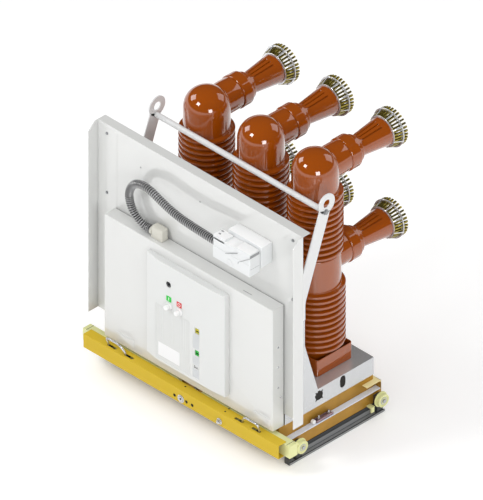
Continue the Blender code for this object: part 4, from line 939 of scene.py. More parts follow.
class BREAKER_OT_cable(bpy.types.Operator):
    """Build the corrugated conduit, its gland and its plug"""

    bl_idname = "breaker.cable"
    bl_label = "Control cable"

    def execute(self, context):
        steps = 8
        sizes = context.scene.breaker_cable
        route = np.array(CABLE_ROUTE) + (0.0, AXIS_Y, 0.0)
        coarse = smooth_path(route, 120)
        length = path_length(coarse)
        count = int(round(length / sizes.wave)) * steps
        line = smooth_path(route, count + 1)
        share = np.cos(np.linspace(0.0, 2.0 * np.pi * (count / steps), count + 1))
        radius = sizes.diameter / 2.0 - sizes.wave_depth * (0.5 - 0.5 * share)
        grid = capped(sweep(line, radius, 24, (0.0, -1.0, 0.15)))
        conduit = piece("conduit_skin", [grid], "conduit_plastic", ROOT)
        self.mark_ridges_for_painted_light_and_shade(conduit.data, line, radius)
        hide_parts("conduit")
        self.gland()
        self.plug()
        return {"FINISHED"}

    def mark_ridges_for_painted_light_and_shade(self, mesh, line, radius):
        """Store how far each point lies up a corrugation, for the painted shade in the grooves and the
        painted light on the crests.
        """
        spots = np.array([tuple(vertex.co) for vertex in mesh.vertices])
        away = np.linalg.norm(spots[:, None] - line[None], axis=2).min(axis=1)
        low, high = radius.min(), radius.max()
        layer = mesh.attributes.new("ridge", "FLOAT", "POINT")
        layer.data.foreach_set("value", np.clip((away - low) / (high - low), 0.0, 1.0) ** 2)

    def gland(self):
        """Angled gland on top of the cover, with a ring nut towards the conduit."""
        start_y, start_z = CABLE_ROUTE[0][1:]
        front, rear = from_poles(-0.2680), from_poles(-0.2420)
        left, right, foot, top = -0.1598, -0.1160, 0.5190, 0.5580
        nut = [
            (0.0, -0.1600), (0.0118, -0.1600), (0.0120, -0.1640), (0.0118, -0.1676),
            (0.0114, -0.1680), (0.0, -0.1680),
        ]
        flange = (left + 0.0008, right - 0.0010), (front + 0.0005, rear - 0.0005)
        grids = [
            soft_box((left, right), (front, rear), (foot + 0.0035, top), 0.0060, 6),
            soft_box(*flange, (foot, foot + 0.0070), 0.0012, 3),
            soft_box((-0.1500, -0.1250), (front - 0.0002, rear), (0.5300, top - 0.0060), 0.0050, 5),
            revolve(nut, "X", (0.0, from_poles(start_y), start_z), 48),
        ]
        grids += fasteners([(-0.1375, 0.5410)], "Y", front - 0.0001, 0.0030, -0.0005, 20)
        piece("cable_gland", grids, "gland_plastic", ROOT, ("cable_elbow",))

    def plug(self):
        """Plug socket on the panel, and the plug hood with its plates and latch."""
        front, split = from_poles(-0.3210), from_poles(-0.2777)
        left, right, low, high = 0.1310, 0.2745, 0.6230, 0.6980
        tower_left, tower_right = 0.1760, 0.2180
        socket = [
            soft_box((0.1500, 0.2800), (split, PANEL_FACE), (0.6380, 0.7050), 0.0022, 4),
            soft_box((0.1560, 0.2640), (split + 0.0100, PANEL_FACE), (0.6290, 0.6400), 0.0012, 3),
        ]
        item = "plug_socket_body"
        piece(item, socket, "plug_plastic", ROOT, ("plug_socket",))
        body = (left, right), (front + 0.0040, split - 0.0003), (low, high - 0.0055)
        tower = (left, tower_left), (front + 0.0040, split - 0.0040), (high - 0.0140, high)
        other = (tower_right, right), (front + 0.0036, split - 0.0030), (high - 0.0150, high)
        face = (left + 0.0006, right - 0.0005), (front + 0.0026, front + 0.0080)
        boss = (0.1980, 0.0, low + 0.0120)
        hood = [
            soft_box(*body, 0.0024, 5),
            soft_box(*tower, 0.0018, 4),
            soft_box(*other, 0.0018, 4),
            soft_box(*face, (low + 0.0004, high - 0.0360), 0.0012, 3),
            disc("Y", boss, 0.0112, front + 0.0080, front + 0.0010, 0.0012, 48),
            disc("Y", boss, 0.0034, front + 0.0080, front + 0.0003, 0.0005, 28),
        ]
        piece("plug_hood_body", hood, "plug_plastic", ROOT, ("plug_hood",))
        edge, skin = 0.0004, (high - 0.0010, high + 0.0003)
        inside = (tower_left + 0.0002, tower_right - 0.0002), (front + 0.0050, split - 0.0010)
        # thin plates of a whiter finish than the plug's plastic on the faces that look up: painted light
        # on the tops of the hood and the socket
        tops = [
            soft_box((0.1318, 0.1752), (front + 0.0048, split - 0.0048), skin, edge, 2),
            soft_box((0.2188, 0.2738), (front + 0.0044, split - 0.0038), skin, edge, 2),
            soft_box(*inside, (high - 0.0062, high - 0.0052), edge, 2),
            soft_box((0.1508, 0.2792), (split + 0.0010, PANEL_FACE - 0.0010), (0.7042, 0.7053), edge, 2),
        ]
        piece("plug_tops_painted_light", tops, "white_mark", ROOT)
        arm = [(0.1790, 0.6590), (0.1800, 0.6575), (0.2262, 0.6800), (0.2255, 0.6815)]
        latch = [(0.2300, 0.6546), (0.2302, 0.6530), (0.2745, 0.6850), (0.2745, 0.6866)]
        side, notch = split - 0.0030, (high - 0.0010, high + 0.0007)
        slits = [
            soft_box((0.2735, 0.2748), (front + 0.0040, side), (high - 0.0135, high - 0.0040), edge, 2),
            soft_box((0.2738, 0.2747), (front + 0.0050, side), (low + 0.0240, low + 0.0250), 0.0002, 1),
            soft_box((0.1400, 0.1470), (front + 0.0160, front + 0.0210), notch, edge, 2),
            soft_box((0.1360, 0.1450), (front + 0.0300, front + 0.0350), notch, edge, 2),
            soft_box((0.2288, 0.2308), (front + 0.0022, front + 0.0040), (0.6475, 0.6545), 0.0003, 1),
        ]
        slits += [plate(line, "Y", front + 0.0050, front + 0.0022, 0.0001) for line in (arm, latch)]
        piece("plug_slits", slits, "screw_steel", ROOT)


# Stage

class BREAKER_OT_stage(bpy.types.Operator):
    """Set up the camera, the lamps, the surrounding light and the floor"""

    bl_idname = "breaker.stage"
    bl_label = "Stage"

    def execute(self, context):
        sizes = context.scene.breaker_stage
        scene = context.scene
        scene.view_settings.view_transform = "Standard"
        scene.view_settings.look = "None"
        target = Vector((-0.0755, AXIS_Y, 0.3826))
        away = 3.0
        across, rise = math.radians(45.0), math.radians(35.264)
        level = math.cos(rise)
        back = Vector((level * math.sin(across), -level * math.cos(across), math.sin(rise)))
        lens = bpy.data.cameras.new("photo_camera")
        lens.type = "ORTHO"
        lens.ortho_scale = sizes.view_height
        camera = bpy.data.objects.new("photo_camera", lens)
        camera.location = target + back * away
        camera.rotation_euler = (-back).to_track_quat("-Z", "Y").to_euler()
        scene.collection.objects.link(camera)
        scene.camera = camera
        lamps = (
            ("main_lamp", (-0.6, -2.2, 2.6), sizes.key_power, 0.75),
            ("side_lamp", (2.3, -1.3, 1.4), sizes.fill_power * 1.3, 0.85),
            ("left_lamp", (-2.3, -0.9, 2.3), sizes.fill_power, 1.2),
            ("rear_lamp", (0.6, 2.4, 2.2), sizes.fill_power * 0.7, 1.6),
        )
        for name, place, power, size in lamps:
            light = bpy.data.lights.new(name, "AREA")
            light.energy = power
            light.size = size
            lamp = bpy.data.objects.new(name, light)
            lamp.location = place
            lamp.rotation_euler = (target - Vector(place)).to_track_quat("-Z", "Y").to_euler()
            scene.collection.objects.link(lamp)
        self.world(scene, sizes.world_level)
        self.floor(scene, sizes.floor_lift)
        return {"FINISHED"}

    def world(self, scene, level):
        """Even light. The camera, metal and glass see a studio instead: white from
        the floor to the horizon, and darker above where the ray has risen enough."""
        white = (1.0, 1.0, 1.0, 1.0)
        overhead = (0.04, 0.04, 0.04, 1.0)
        world = bpy.data.worlds.new("studio")
        world.use_nodes = True
        scene.world = world
        tree = world.node_tree
        tree.nodes.clear()
        light = add_node(tree, "ShaderNodeBackground", in_Strength=level)
        seen = add_node(tree, "ShaderNodeBackground", in_Strength=1.0)
        light.inputs["Color"].default_value = white
        place = tree.nodes.new("ShaderNodeTexCoord")
        parts = tree.nodes.new("ShaderNodeSeparateXYZ")
        rise = add_node(tree, "ShaderNodeMapRange")
        set_inputs(rise, {"From Min": 0.02, "From Max": 0.10})
        backdrop = add_node(tree, "ShaderNodeMix", data_type="RGBA")
        backdrop.inputs[6].default_value = white
        backdrop.inputs[7].default_value = overhead
        tree.links.new(place.outputs["Generated"], parts.inputs[0])
        tree.links.new(parts.outputs["Z"], rise.inputs["Value"])
        tree.links.new(rise.outputs["Result"], backdrop.inputs[0])
        tree.links.new(backdrop.outputs[2], seen.inputs["Color"])
        mix = tree.nodes.new("ShaderNodeMixShader")
        out = tree.nodes.new("ShaderNodeOutputWorld")
        tree.links.new(self.seen_directly(tree), mix.inputs[0])
        tree.links.new(light.outputs[0], mix.inputs[1])
        tree.links.new(seen.outputs[0], mix.inputs[2])
        tree.links.new(mix.outputs[0], out.inputs["Surface"])

    def seen_directly(self, tree):
        """Mask of the rays that show a backdrop: camera, glossy and transmission."""
        path = tree.nodes.new("ShaderNodeLightPath")
        total = path.outputs["Is Camera Ray"]
        for kind in ("Is Glossy Ray", "Is Transmission Ray"):
            either = add_node(tree, "ShaderNodeMath", operation="MAXIMUM")
            tree.links.new(total, either.inputs[0])
            tree.links.new(path.outputs[kind], either.inputs[1])
            total = either.outputs[0]
        return total

    def floor(self, scene, glow):
        """White floor under the truck, which keeps the truck's shadow."""
        made = bpy.data.materials.new("floor_paint")
        made.use_nodes = True
        tree = made.node_tree
        shader = tree.nodes["Principled BSDF"]
        set_inputs(shader, {"Base Color": (0.96, 0.96, 0.96, 1.0), "Roughness": 0.9})
        set_inputs(shader, {"Emission Color": (1.0, 1.0, 1.0, 1.0)})
        lift = add_node(tree, "ShaderNodeMath", operation="MULTIPLY")
        lift.inputs[1].default_value = glow
        tree.links.new(self.seen_directly(tree), lift.inputs[0])
        tree.links.new(lift.outputs[0], shader.inputs["Emission Strength"])
        mesh = bpy.data.meshes.new("studio_floor")
        reach, level = 6.0, -0.0004
        corners = [(x * reach, y * reach, level) for x, y in ((-1, -1), (1, -1), (1, 1), (-1, 1))]
        mesh.from_pydata(corners, [], [(0, 1, 2, 3)])
        mesh.materials.append(made)
        floor = bpy.data.objects.new("studio_floor", mesh)
        scene.collection.objects.link(floor)


# Front panel and lifting frame

def bar_strip(route, half, start, end, edge):
    """Grid of a flat bar that follows a bent line in the Y-Z plane: each point of
    the line carries a bevelled section, half wide to each side along the mean
    normal of its neighbours and from start to end in X."""
    line = np.asarray(route, float)
    step = np.gradient(line, axis=0)
    step /= np.linalg.norm(step, axis=1)[:, None]
    normal = np.stack((step[:, 1], -step[:, 0]), axis=1)
    span = math.copysign(edge, end - start)
    lip = half - edge
    section = [(lip, start), (half, start + span), (half, end - span), (lip, end)]
    section += [(-lip, end), (-half, end - span), (-half, start + span), (-lip, start)]
    rows = []
    for reach, level in section:
        spot = line + normal * reach
        rows.append(lay(spot[:, 0], spot[:, 1], level, "X"))
    return capped((np.stack(rows), True, False))


class BREAKER_OT_panel(bpy.types.Operator):
    """Build the front panel with its screws and strip, and the lifting frame"""

    bl_idname = "breaker.panel"
    bl_label = "Front panel and lifting frame"

    def execute(self, context):
        wall = PANEL_FACE + GAP
        softened("panel_sheet", "front_panel", "panel_paint", ROOT, 0.0009)
        bolts = [(side * 0.3600, z) for side in SIDES.values() for z in (0.7500, 0.5520)]
        grids = fasteners(bolts, "Y", wall, 0.0038, -0.0030, 6, 0.0052)
        piece("panel_bolts", grids, "screw_steel", ROOT)
        screws = [(x, 0.7000) for x in (-0.2300, 0.0000, 0.2290)]
        grids = fasteners(screws, "Y", wall, 0.0026, -0.0010, 16)
        piece("panel_screws", grids, "screw_steel", ROOT)
        width, height = 0.0730, 0.5900
        outline = round_rect(width, height, 0.0004, (-0.3580, 0.4730), 2)
        strip = plate(outline, "Y", wall + 0.0002, wall - 0.0007, 0.0003)
        piece("panel_strip", [strip], "panel_paint", ROOT)
        for label, side in SIDES.items():
            self.bar(label, side)
        self.rod()
        return {"FINISHED"}

    def bar(self, label, side):
        """Lifting bar: a bent flat bar that runs into its eye."""
        thick, half, edge = 0.0040, 0.0210, 0.0005
        start, end = side * (BAR_FACE - thick), side * BAR_FACE
        bore, rim, bend = 0.0130, 0.0310, 0.0140
        back = from_poles(-0.1790)
        eye = np.array((from_poles(-0.0747), 0.7776))
        foot = np.array((back, 0.4300))
        knee = np.array((back, 0.4900))
        ahead = (eye - knee) / np.linalg.norm(eye - knee)
        route = round_corners((foot, knee, eye - ahead * 0.0220), bend, 6)
        strip = bar_strip(route, half, start, end, edge)
        span = side * edge
        profile = [(bore, start), (rim - edge, start), (rim, start + span), (rim, end - span)]
        profile += [(rim - edge, end), (bore, end), (bore, start)]
        grids = [strip, revolve(profile, "X", (0.0, eye[0], eye[1]), 64)]
        heads = [(back, 0.4480), (back, 0.4740)]
        grids += fasteners(heads, "X", end, 0.0055, side * 0.0040, 6, 0.0075)
        name = "lifting_bar_" + label
        piece("bar_" + label, grids, "bar_paint", ROOT, (name,))

    def rod(self):
        """Cross rod with a washer and a bolt head at each end."""
        centre = (0.0, from_poles(-0.0800), 0.7527)
        radius, reach = 0.0085, 0.3260
        end, span = radius - 0.0007, reach - 0.0008
        rod = [(0.0, -reach), (end, -reach), (radius, -span), (radius, span), (end, reach), (0.0, reach)]
        grid = revolve(rod, "X", centre, 40)
        piece("cross_rod", [grid], "bar_paint", ROOT, ("lifting_rod",))
        grids = []
        for side in SIDES.values():
            grids += fasteners([centre[1:]], "X", side * BAR_FACE, 0.0070, side * 0.0046, 6, 0.0090)
        piece("cross_rod_bolts", grids, "screw_steel", ROOT)


# Cover of the drive

class BREAKER_OT_cover(bpy.types.Operator):
    """Build the cover of the drive with its pressed fields and side screws"""

    bl_idname = "breaker.cover"
    bl_label = "Cover"

    def execute(self, context):
        width, height, level = 0.6520, 0.4060, 0.3157
        front, rear = COVER_FACE, PANEL_FACE
        corner, edge, gap, lap = 0.0018, 0.0022, 0.0026, 0.0002
        turn = np.radians(np.linspace(0.0, 90.0, 8))
        rows = [(edge * (1.0 - math.sin(t)), front + edge * (1.0 - math.cos(t))) for t in turn]
        rows += [(0.0, rear - gap - lap), (0.0003, rear - gap)]
        rings = []
        for inset, depth in rows:
            size = (width - 2.0 * inset, height - 2.0 * inset)
            outline = round_rect(*size, max(corner - inset, 0.0004), (0.0, level), 4)
            rings.append(lay(outline[:, 0], outline[:, 1], depth, "Y"))
        grids = [capped((np.stack(rings, axis=1), True, False))]
        pressed = (0.0680, 0.0290)
        for middle in (-0.2460, 0.2830):
            outline = round_rect(*pressed, 0.0030, (middle, 0.1355), 5)
            grids.append(soft_plate(outline, "Y", front + 0.0005, front - 0.0008, 0.0007, 3))
        piece("drive_cover", grids, "cover_paint", ROOT, ("front_cover",))
        seam = soft_box((-0.3248, 0.3248), (rear - gap - lap, rear), (0.1139, 0.5175), 0.0004, 1)
        slot = round_rect(0.0340, 0.0016, 0.0006, (0.2155, from_poles(-0.2673)), 3)
        grids = [seam, plate(slot, "Z", 0.5180, 0.5189, 0.0001)]
        piece("cover_seam", grids, "seam_rubber", ROOT)
        spots = [(from_poles(-0.2600), z) for z in (0.3860, 0.3190, 0.2510)]
        spots.append((from_poles(-0.2510), 0.2160))
        grids = []
        for side in SIDES.values():
            grids += fasteners(spots, "X", side * width / 2.0, 0.0034, side * 0.0012, 20)
        piece("cover_screws", grids, "bright_steel", ROOT)
        return {"FINISHED"}


# Fascia and its controls

class BREAKER_OT_fascia(bpy.types.Operator):
    """Build the moulded fascia with its fields, windows, flags and buttons"""

    bl_idname = "breaker.fascia"
    bl_label = "Fascia and controls"

    def execute(self, context):
        softened("fascia_shell", "fascia", "fascia_plastic", ROOT, 0.0012, 3)
        for build in (self.fields, self.marks, self.windows, self.buttons, self.charging):
            build(FASCIA_FACE)
        return {"FINISHED"}

    def fields(self, front):
        """Ridges round the fields of the fascia, and the plates inside them."""
        field, column = (-0.0400, 0.2530), (0.0500, 0.2515)
        ridges = []
        ridge_width = 0.0014
        for middle, size in ((field, (0.1300, 0.1820)), (column, (0.0272, 0.1740))):
            outline = round_rect(*size, 0.0030, middle, 5)
            ridges.append(rim_frame(outline, "Y", front + 0.0002, front - 0.0006, ridge_width))
        piece("fascia_ridges", ridges, "fascia_plastic", ROOT)
        inside = self.sheet(front + 0.0001, field, (0.1270, 0.1790))
        piece("fascia_field", [inside], "field_plastic", ROOT)
        ribs = [
            self.sheet(front - 0.0003, (x, 0.2870), (0.0022, 0.1020), 0.0008)
            for x in (-0.0880, -0.0800, -0.0420, -0.0080, 0.0020, 0.0100)
        ]
        piece("fascia_ribs", ribs, "fascia_plastic", ROOT)
        card = self.sheet(front - 0.0003, (-0.0540, 0.1970), (0.0820, 0.0440), 0.0010)
        piece("fascia_plates", [card], "white_mark", ROOT)
        strips = [
            self.sheet(front + 0.0001, (column[0], middle), (0.0244, height), 0.0010)
            for middle, height in ((0.2885, 0.0490), (0.2250, 0.0270), (0.1810, 0.0280))
        ]
        piece("fascia_strips", strips, "strip_plastic", ROOT)

    def sheet(self, face, middle, size, corner=0.0024):
        """Grid of a thin plate on the fascia, its face just before the wall."""
        outline = round_rect(*size, corner, middle, 3)
        return plate(outline, "Y", face + 0.0006, face - 0.0003, 0.0001)

    def marks(self, front):
        """Coloured plates over the buttons, with a raised bar and a raised ring."""
        level, on, off = 0.3800, -0.0546, -0.0147
        tiles = (("mark_on", on, "green_plastic"), ("mark_off", off, "red_plastic"))
        for name, middle, finish in tiles:
            outline = round_rect(0.0190, 0.0170, 0.0012, (middle, level), 3)
            piece(name, [plate(outline, "Y", front, front - 0.0008, 0.0002)], finish, ROOT)
        raised = (front - 0.0007, front - 0.0011)
        bar = plate(round_rect(0.0022, 0.0100, 0.0004, (on, level), 2), "Y", *raised, 0.0001)
        ring = rim_frame(polygon(40, 0.0055, (off, level)), "Y", *raised, 0.0018)
        piece("mark_signs", [bar, ring], "white_mark", ROOT)

    def windows(self, front):
        """Frames of the two flag windows and the counter window, the flags behind
        them, and the number drums of the counter."""
        flag_x, flag_size = 0.0547, (0.0180, 0.0190)
        counter, counter_size = (0.0500, 0.2030), (0.0150, 0.0100)
        flags = (
            ("state_flag", 0.3254, "yellow_mark", "flag_yellow"),
            ("spring_flag", 0.2516, "green_plastic", "green_plastic"),
        )
        openings = [((flag_x, flag[1]), flag_size) for flag in flags] + [(counter, counter_size)]
        frames = []
        for middle, (width, height) in openings:
            outline = round_rect(width + 0.0030, height + 0.0030, 0.0012, middle, 4)
            frames.append(rim_frame(outline, "Y", front + 0.0001, front - 0.0009, 0.0016))
        piece("window_frames", frames, "fascia_plastic", ROOT)
        wall = 0.0025
        inner = front + wall + GAP
        for name, level, finish, slot_name in flags:
            softened(name + "_plate", name, finish, name, 0.0002, 2)
            stripe = round_rect(0.0150, 0.0035, 0.0003, (flag_x, level - 0.0030), 2)
            dark = round_rect(0.0200, 0.0180, 0.0003, (flag_x, level - 0.0215), 2)
            span = (inner + 0.0003, inner - 0.0001)
            grids = [plate(outline, "Y", *span, 0.0001) for outline in (stripe, dark)]
            piece(name + "_marks", grids, "black_mark", name)
        first, half, pitch, count = 0.0445, 0.0011, 0.00275, 5
        depth, span = (inner, inner + 0.0030), (0.1990, 0.2070)
        drums = []
        for middle in (first + index * pitch for index in range(count)):
            drums.append(soft_box((middle - half, middle + half), depth, span, 0.0006, 2))
        piece("counter_drums", drums, "white_mark", ROOT)
        outline = round_rect(0.0190, 0.0140, 0.0004, counter, 2)
        back = plate(outline, "Y", inner + 0.0032, inner + 0.0042)
        piece("counter_back", [back], "black_mark", ROOT)

    def buttons(self, front):
        """Push buttons with round caps, and the collars that they slide in."""
        tip = front - 0.0185
        stem, radius, hole = 0.0040, 0.0070, 0.0076
        cap = [
            (0.0, tip + 0.0765), (stem, tip + 0.0765), (stem, front + 0.0040),
            (radius, front + 0.0030), (radius, tip + 0.0018), (0.0066, tip + 0.0008),
            (0.0056, tip + 0.0002), (0.0030, tip), (0.0, tip + 0.0003),
        ]
        collar = [
            (hole, front), (0.0098, front), (0.0108, front - 0.0018), (0.0112, front - 0.0040),
            (0.0108, front - 0.0062), (0.0096, front - 0.0078), (0.0082, front - 0.0080),
            (hole, front - 0.0076), (hole, front),
        ]
        collars = []
        for name, middle in (("close_button", -0.0520), ("open_button", -0.0120)):
            centre = (middle, 0.0, 0.3590)
            grid = revolve(cap, "Y", centre, 48)
            piece(name + "_cap", [grid], "white_mark", name, (name,))
            collars.append(revolve(collar, "Y", centre, 48))
        piece("button_collars", collars, "white_mark", ROOT)

    def charging(self, front):
        """Charging shaft with its hexagon socket, and the ring round it."""
        centre = (-0.0557, 0.0, 0.4276)
        radius, socket, edge = 0.0090, 0.0058, 0.0008
        tip = front + GAP
        rear, depth = tip + 0.0600, tip + 0.0150
        turn = np.linspace(0.0, 2.0 * np.pi, 48, endpoint=False)
        fold = np.mod(turn, np.pi / 3.0) - np.pi / 6.0
        hexagon = socket * math.cos(np.pi / 6.0) / np.cos(fold)
        rows = [(0.0, rear), (radius, rear), (radius, tip + edge), (0.0084, tip)]
        rows += [(hexagon + 0.0006, tip), (hexagon, tip + edge), (hexagon, depth), (0.0, depth)]
        grid = socketed(rows, turn, centre[0], centre[2])
        piece("charging_socket_end", [grid], "bright_steel", "charging_shaft")
        dress("dark_steel", "charging_shaft")
        inner, outer, edge, face = 0.0094, 0.0122, 0.0004, front - 0.0010
        ring = [(inner, front), (outer, front), (outer - edge, face), (inner + edge, face)]
        ring.append((inner, front))
        grid = revolve(ring, "Y", centre, 48)
        piece("charging_ring", [grid], "fascia_plastic", ROOT)


# Racking beam

def socketed(rows, turn, x, z):
    """Grid of a shaft along Y from rows of (radius, Y), where a radius may be an
    array that follows the sides of a socket round the shaft."""
    rings = [
        lay(x + radius * np.cos(turn), z + radius * np.sin(turn), level, "Y")
        for radius, level in rows
    ]
    return np.stack(rings, axis=1), True, False


def screw_grid(radius, depth, pitch, start, end, centre, segments=36):
    """Grid of a threaded rod along Y: the radius falls by the depth in a V whose
    place along the rod moves by one pitch in each turn."""
    steepness, flat = 3.2, 0.4
    rows = max(8, int(abs(end - start) / pitch * 10))
    height = np.linspace(start, end, rows)
    turn = np.linspace(0.0, 2.0 * np.pi, segments, endpoint=False)[:, None]
    phase = np.mod(height[None, :] / pitch + turn / (2.0 * np.pi), 1.0)
    reach = radius - depth * np.clip(np.abs(phase - 0.5) * steepness - flat, 0.0, 1.0)
    x, z = centre[0] + reach * np.cos(turn), centre[2] + reach * np.sin(turn)
    return capped((lay(x, z, centre[1] + height[None, :], "Y"), True, False))


class BREAKER_OT_beam(bpy.types.Operator):
    """Build the racking beam, its tongues and handles and the racking screw"""

    bl_idname = "breaker.beam"
    bl_label = "Racking beam"

    def execute(self, context):
        front = BEAM_FACE
        top = 0.1050
        softened("beam_channel", "beam", "beam_paint", "beam", 0.0010, 3)
        # black discs and plates where the beam has holes and slots: painted shade for the dark inside of
        # each opening
        holes = [
            disc("Y", (x, 0.0, SCREW_LEVEL), 0.0050, front + 0.0010, front - 0.0001, 0.0001, 28)
            for x in (-0.0248, 0.0213, 0.0438)
        ]
        for x, distance in ((0.1578, -0.2964), (-0.0028, -0.2900), (0.1560, -0.2800)):
            centre = (x, from_poles(distance), 0.0)
            holes.append(disc("Z", centre, 0.0028, top, top + 0.0011, 0.0001, 20))
        near, far = HANDLE_LEGS
        slot_shade_floor = 0.1020
        for middle in (-far, -near, near, far):
            outline = round_rect(0.0300, 0.0150, 0.0070, (middle, HANDLE_Y), 6)
            holes.append(plate(outline, "Z", slot_shade_floor, slot_shade_floor + 0.0008))
        piece("beam_holes", holes, "black_mark", "beam")
        inner, outer = 0.0086, 0.0124
        edge, face = front - 0.0008, front - 0.0014
        ring = [(inner, front), (outer, front), (outer, edge), (outer - 0.0008, face)]
        ring += [(inner + 0.0004, face), (inner, edge), (inner, front)]
        grid = revolve(ring, "Y", (0.0, 0.0, SCREW_LEVEL), 48)
        piece("racking_ring", [grid], "bright_steel", "beam")
        self.stud(front)
        self.screw(front)
        for label, side in SIDES.items():
            self.tongue(label, side)
            self.handle(label, side)
        return {"FINISHED"}

    def stud(self, front):
        """Earthing bolt: washer, hexagon nut and threaded end."""
        x, radius, pitch = 0.1500, 0.0040, 0.00125
        centre = (x, 0.0, SCREW_LEVEL)
        washer = front - 0.0020
        nut = polygon(6, 0.0078, (x, SCREW_LEVEL), 0.2)
        grids = [
            disc("Y", centre, 0.0100, front - 0.0003, washer, 0.0003, 44),
            plate(nut, "Y", washer, washer - 0.0046, 0.0007),
            screw_grid(radius, 0.0005, pitch, front - 0.0099, front - 0.0060, centre, 28),
            disc("Y", centre, 0.0038, front + 0.0060, front - 0.0003, 0.0003, 28),
        ]
        item = "earthing_bolt"
        piece(item, grids, "bright_steel", "beam", ("earthing_stud",))

    def screw(self, front):
        """Racking screw with its thread, its collar and a square socket."""
        start, wall, depth = from_poles(-0.3125), 0.0020, 0.0120
        radius, collar_radius, side = 0.0080, 0.0120, 0.0050
        turn = np.linspace(0.0, 2.0 * np.pi, 64, endpoint=False)
        reach = np.maximum(np.abs(np.cos(turn)), np.abs(np.sin(turn)))
        square = side / math.sqrt(2.0) / reach
        collar = front + wall + GAP
        shoulder, rear = collar + 0.0040, collar + 0.0400
        rows = [
            (0.0, rear), (radius, rear), (radius, shoulder), (collar_radius, shoulder),
            (collar_radius, collar), (radius, collar), (radius, start + 0.0005),
            (radius - 0.0005, start), (square + 0.0003, start), (square, start + 0.0004),
            (square, start + depth), (0.0, start + depth),
        ]
        low, high = collar + 0.0300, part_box("lead_screw")[1][1]
        thread = screw_grid(radius, 0.0014, 0.0050, low, high, (0.0, 0.0, SCREW_LEVEL), 40)
        grids = [socketed(rows, turn, 0.0, SCREW_LEVEL), thread]
        item = "racking_screw"
        piece(item, grids, "bright_steel", "lead_screw", ("lead_screw",))

    def tongue(self, label, side):
        """Locking tongue with its end plate, and a black strip along its top: painted shade for its
        groove.
        """
        body = "tongue_" + label
        softened(body + "_bar", body, "cream_zinc", body, 0.0010, 3)
        low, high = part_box(body)
        rear, top = high[1], high[2]
        across = (side * 0.3868, side * 0.3882)
        along = (low[1] + 0.0004, rear - 0.0004)
        # black strip painted as the shade in the tongue's groove
        groove = soft_box(across, along, (top - 0.0010, top + 0.0001), 0.00005, 1)
        piece(body + "_groove_painted_shade", [groove], "black_mark", body)
        end, skin = side * 0.4010, 0.00002
        outline = round_rect(0.0070, 0.0150, 0.0006, (rear - 0.0060, 0.0860), 3)
        tab = plate(outline, "X", end - side * 0.0004, end - side * skin, skin)
        piece(body + "_tab", [tab], "white_mark", body)

    def handle(self, label, side):
        """Wire handle: a round bar with smooth bends."""
        foot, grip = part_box("handle_" + label)[1][1], from_poles(-0.3065)
        near, far = (side * leg for leg in HANDLE_LEGS)
        low, knee, top = 0.0830, 0.1090, 0.1340
        wire, bend = 0.0030, 0.0110
        path = (
            (near, foot, low), (near, HANDLE_Y, low), (near, HANDLE_Y, knee),
            (side * 0.2430, grip, top), (side * 0.2940, grip, top), (far, HANDLE_Y, knee),
            (far, HANDLE_Y, low), (far, foot, low),
        )
        line = round_corners(path, bend, 8)
        grid = capped(sweep(line, wire, 20, (0.3 * side, -0.8, 0.1)))
        item = "wire_handle_" + label
        piece(item, [grid], "bright_steel", "tongue_" + label, ("handle_" + label,))


# Truck

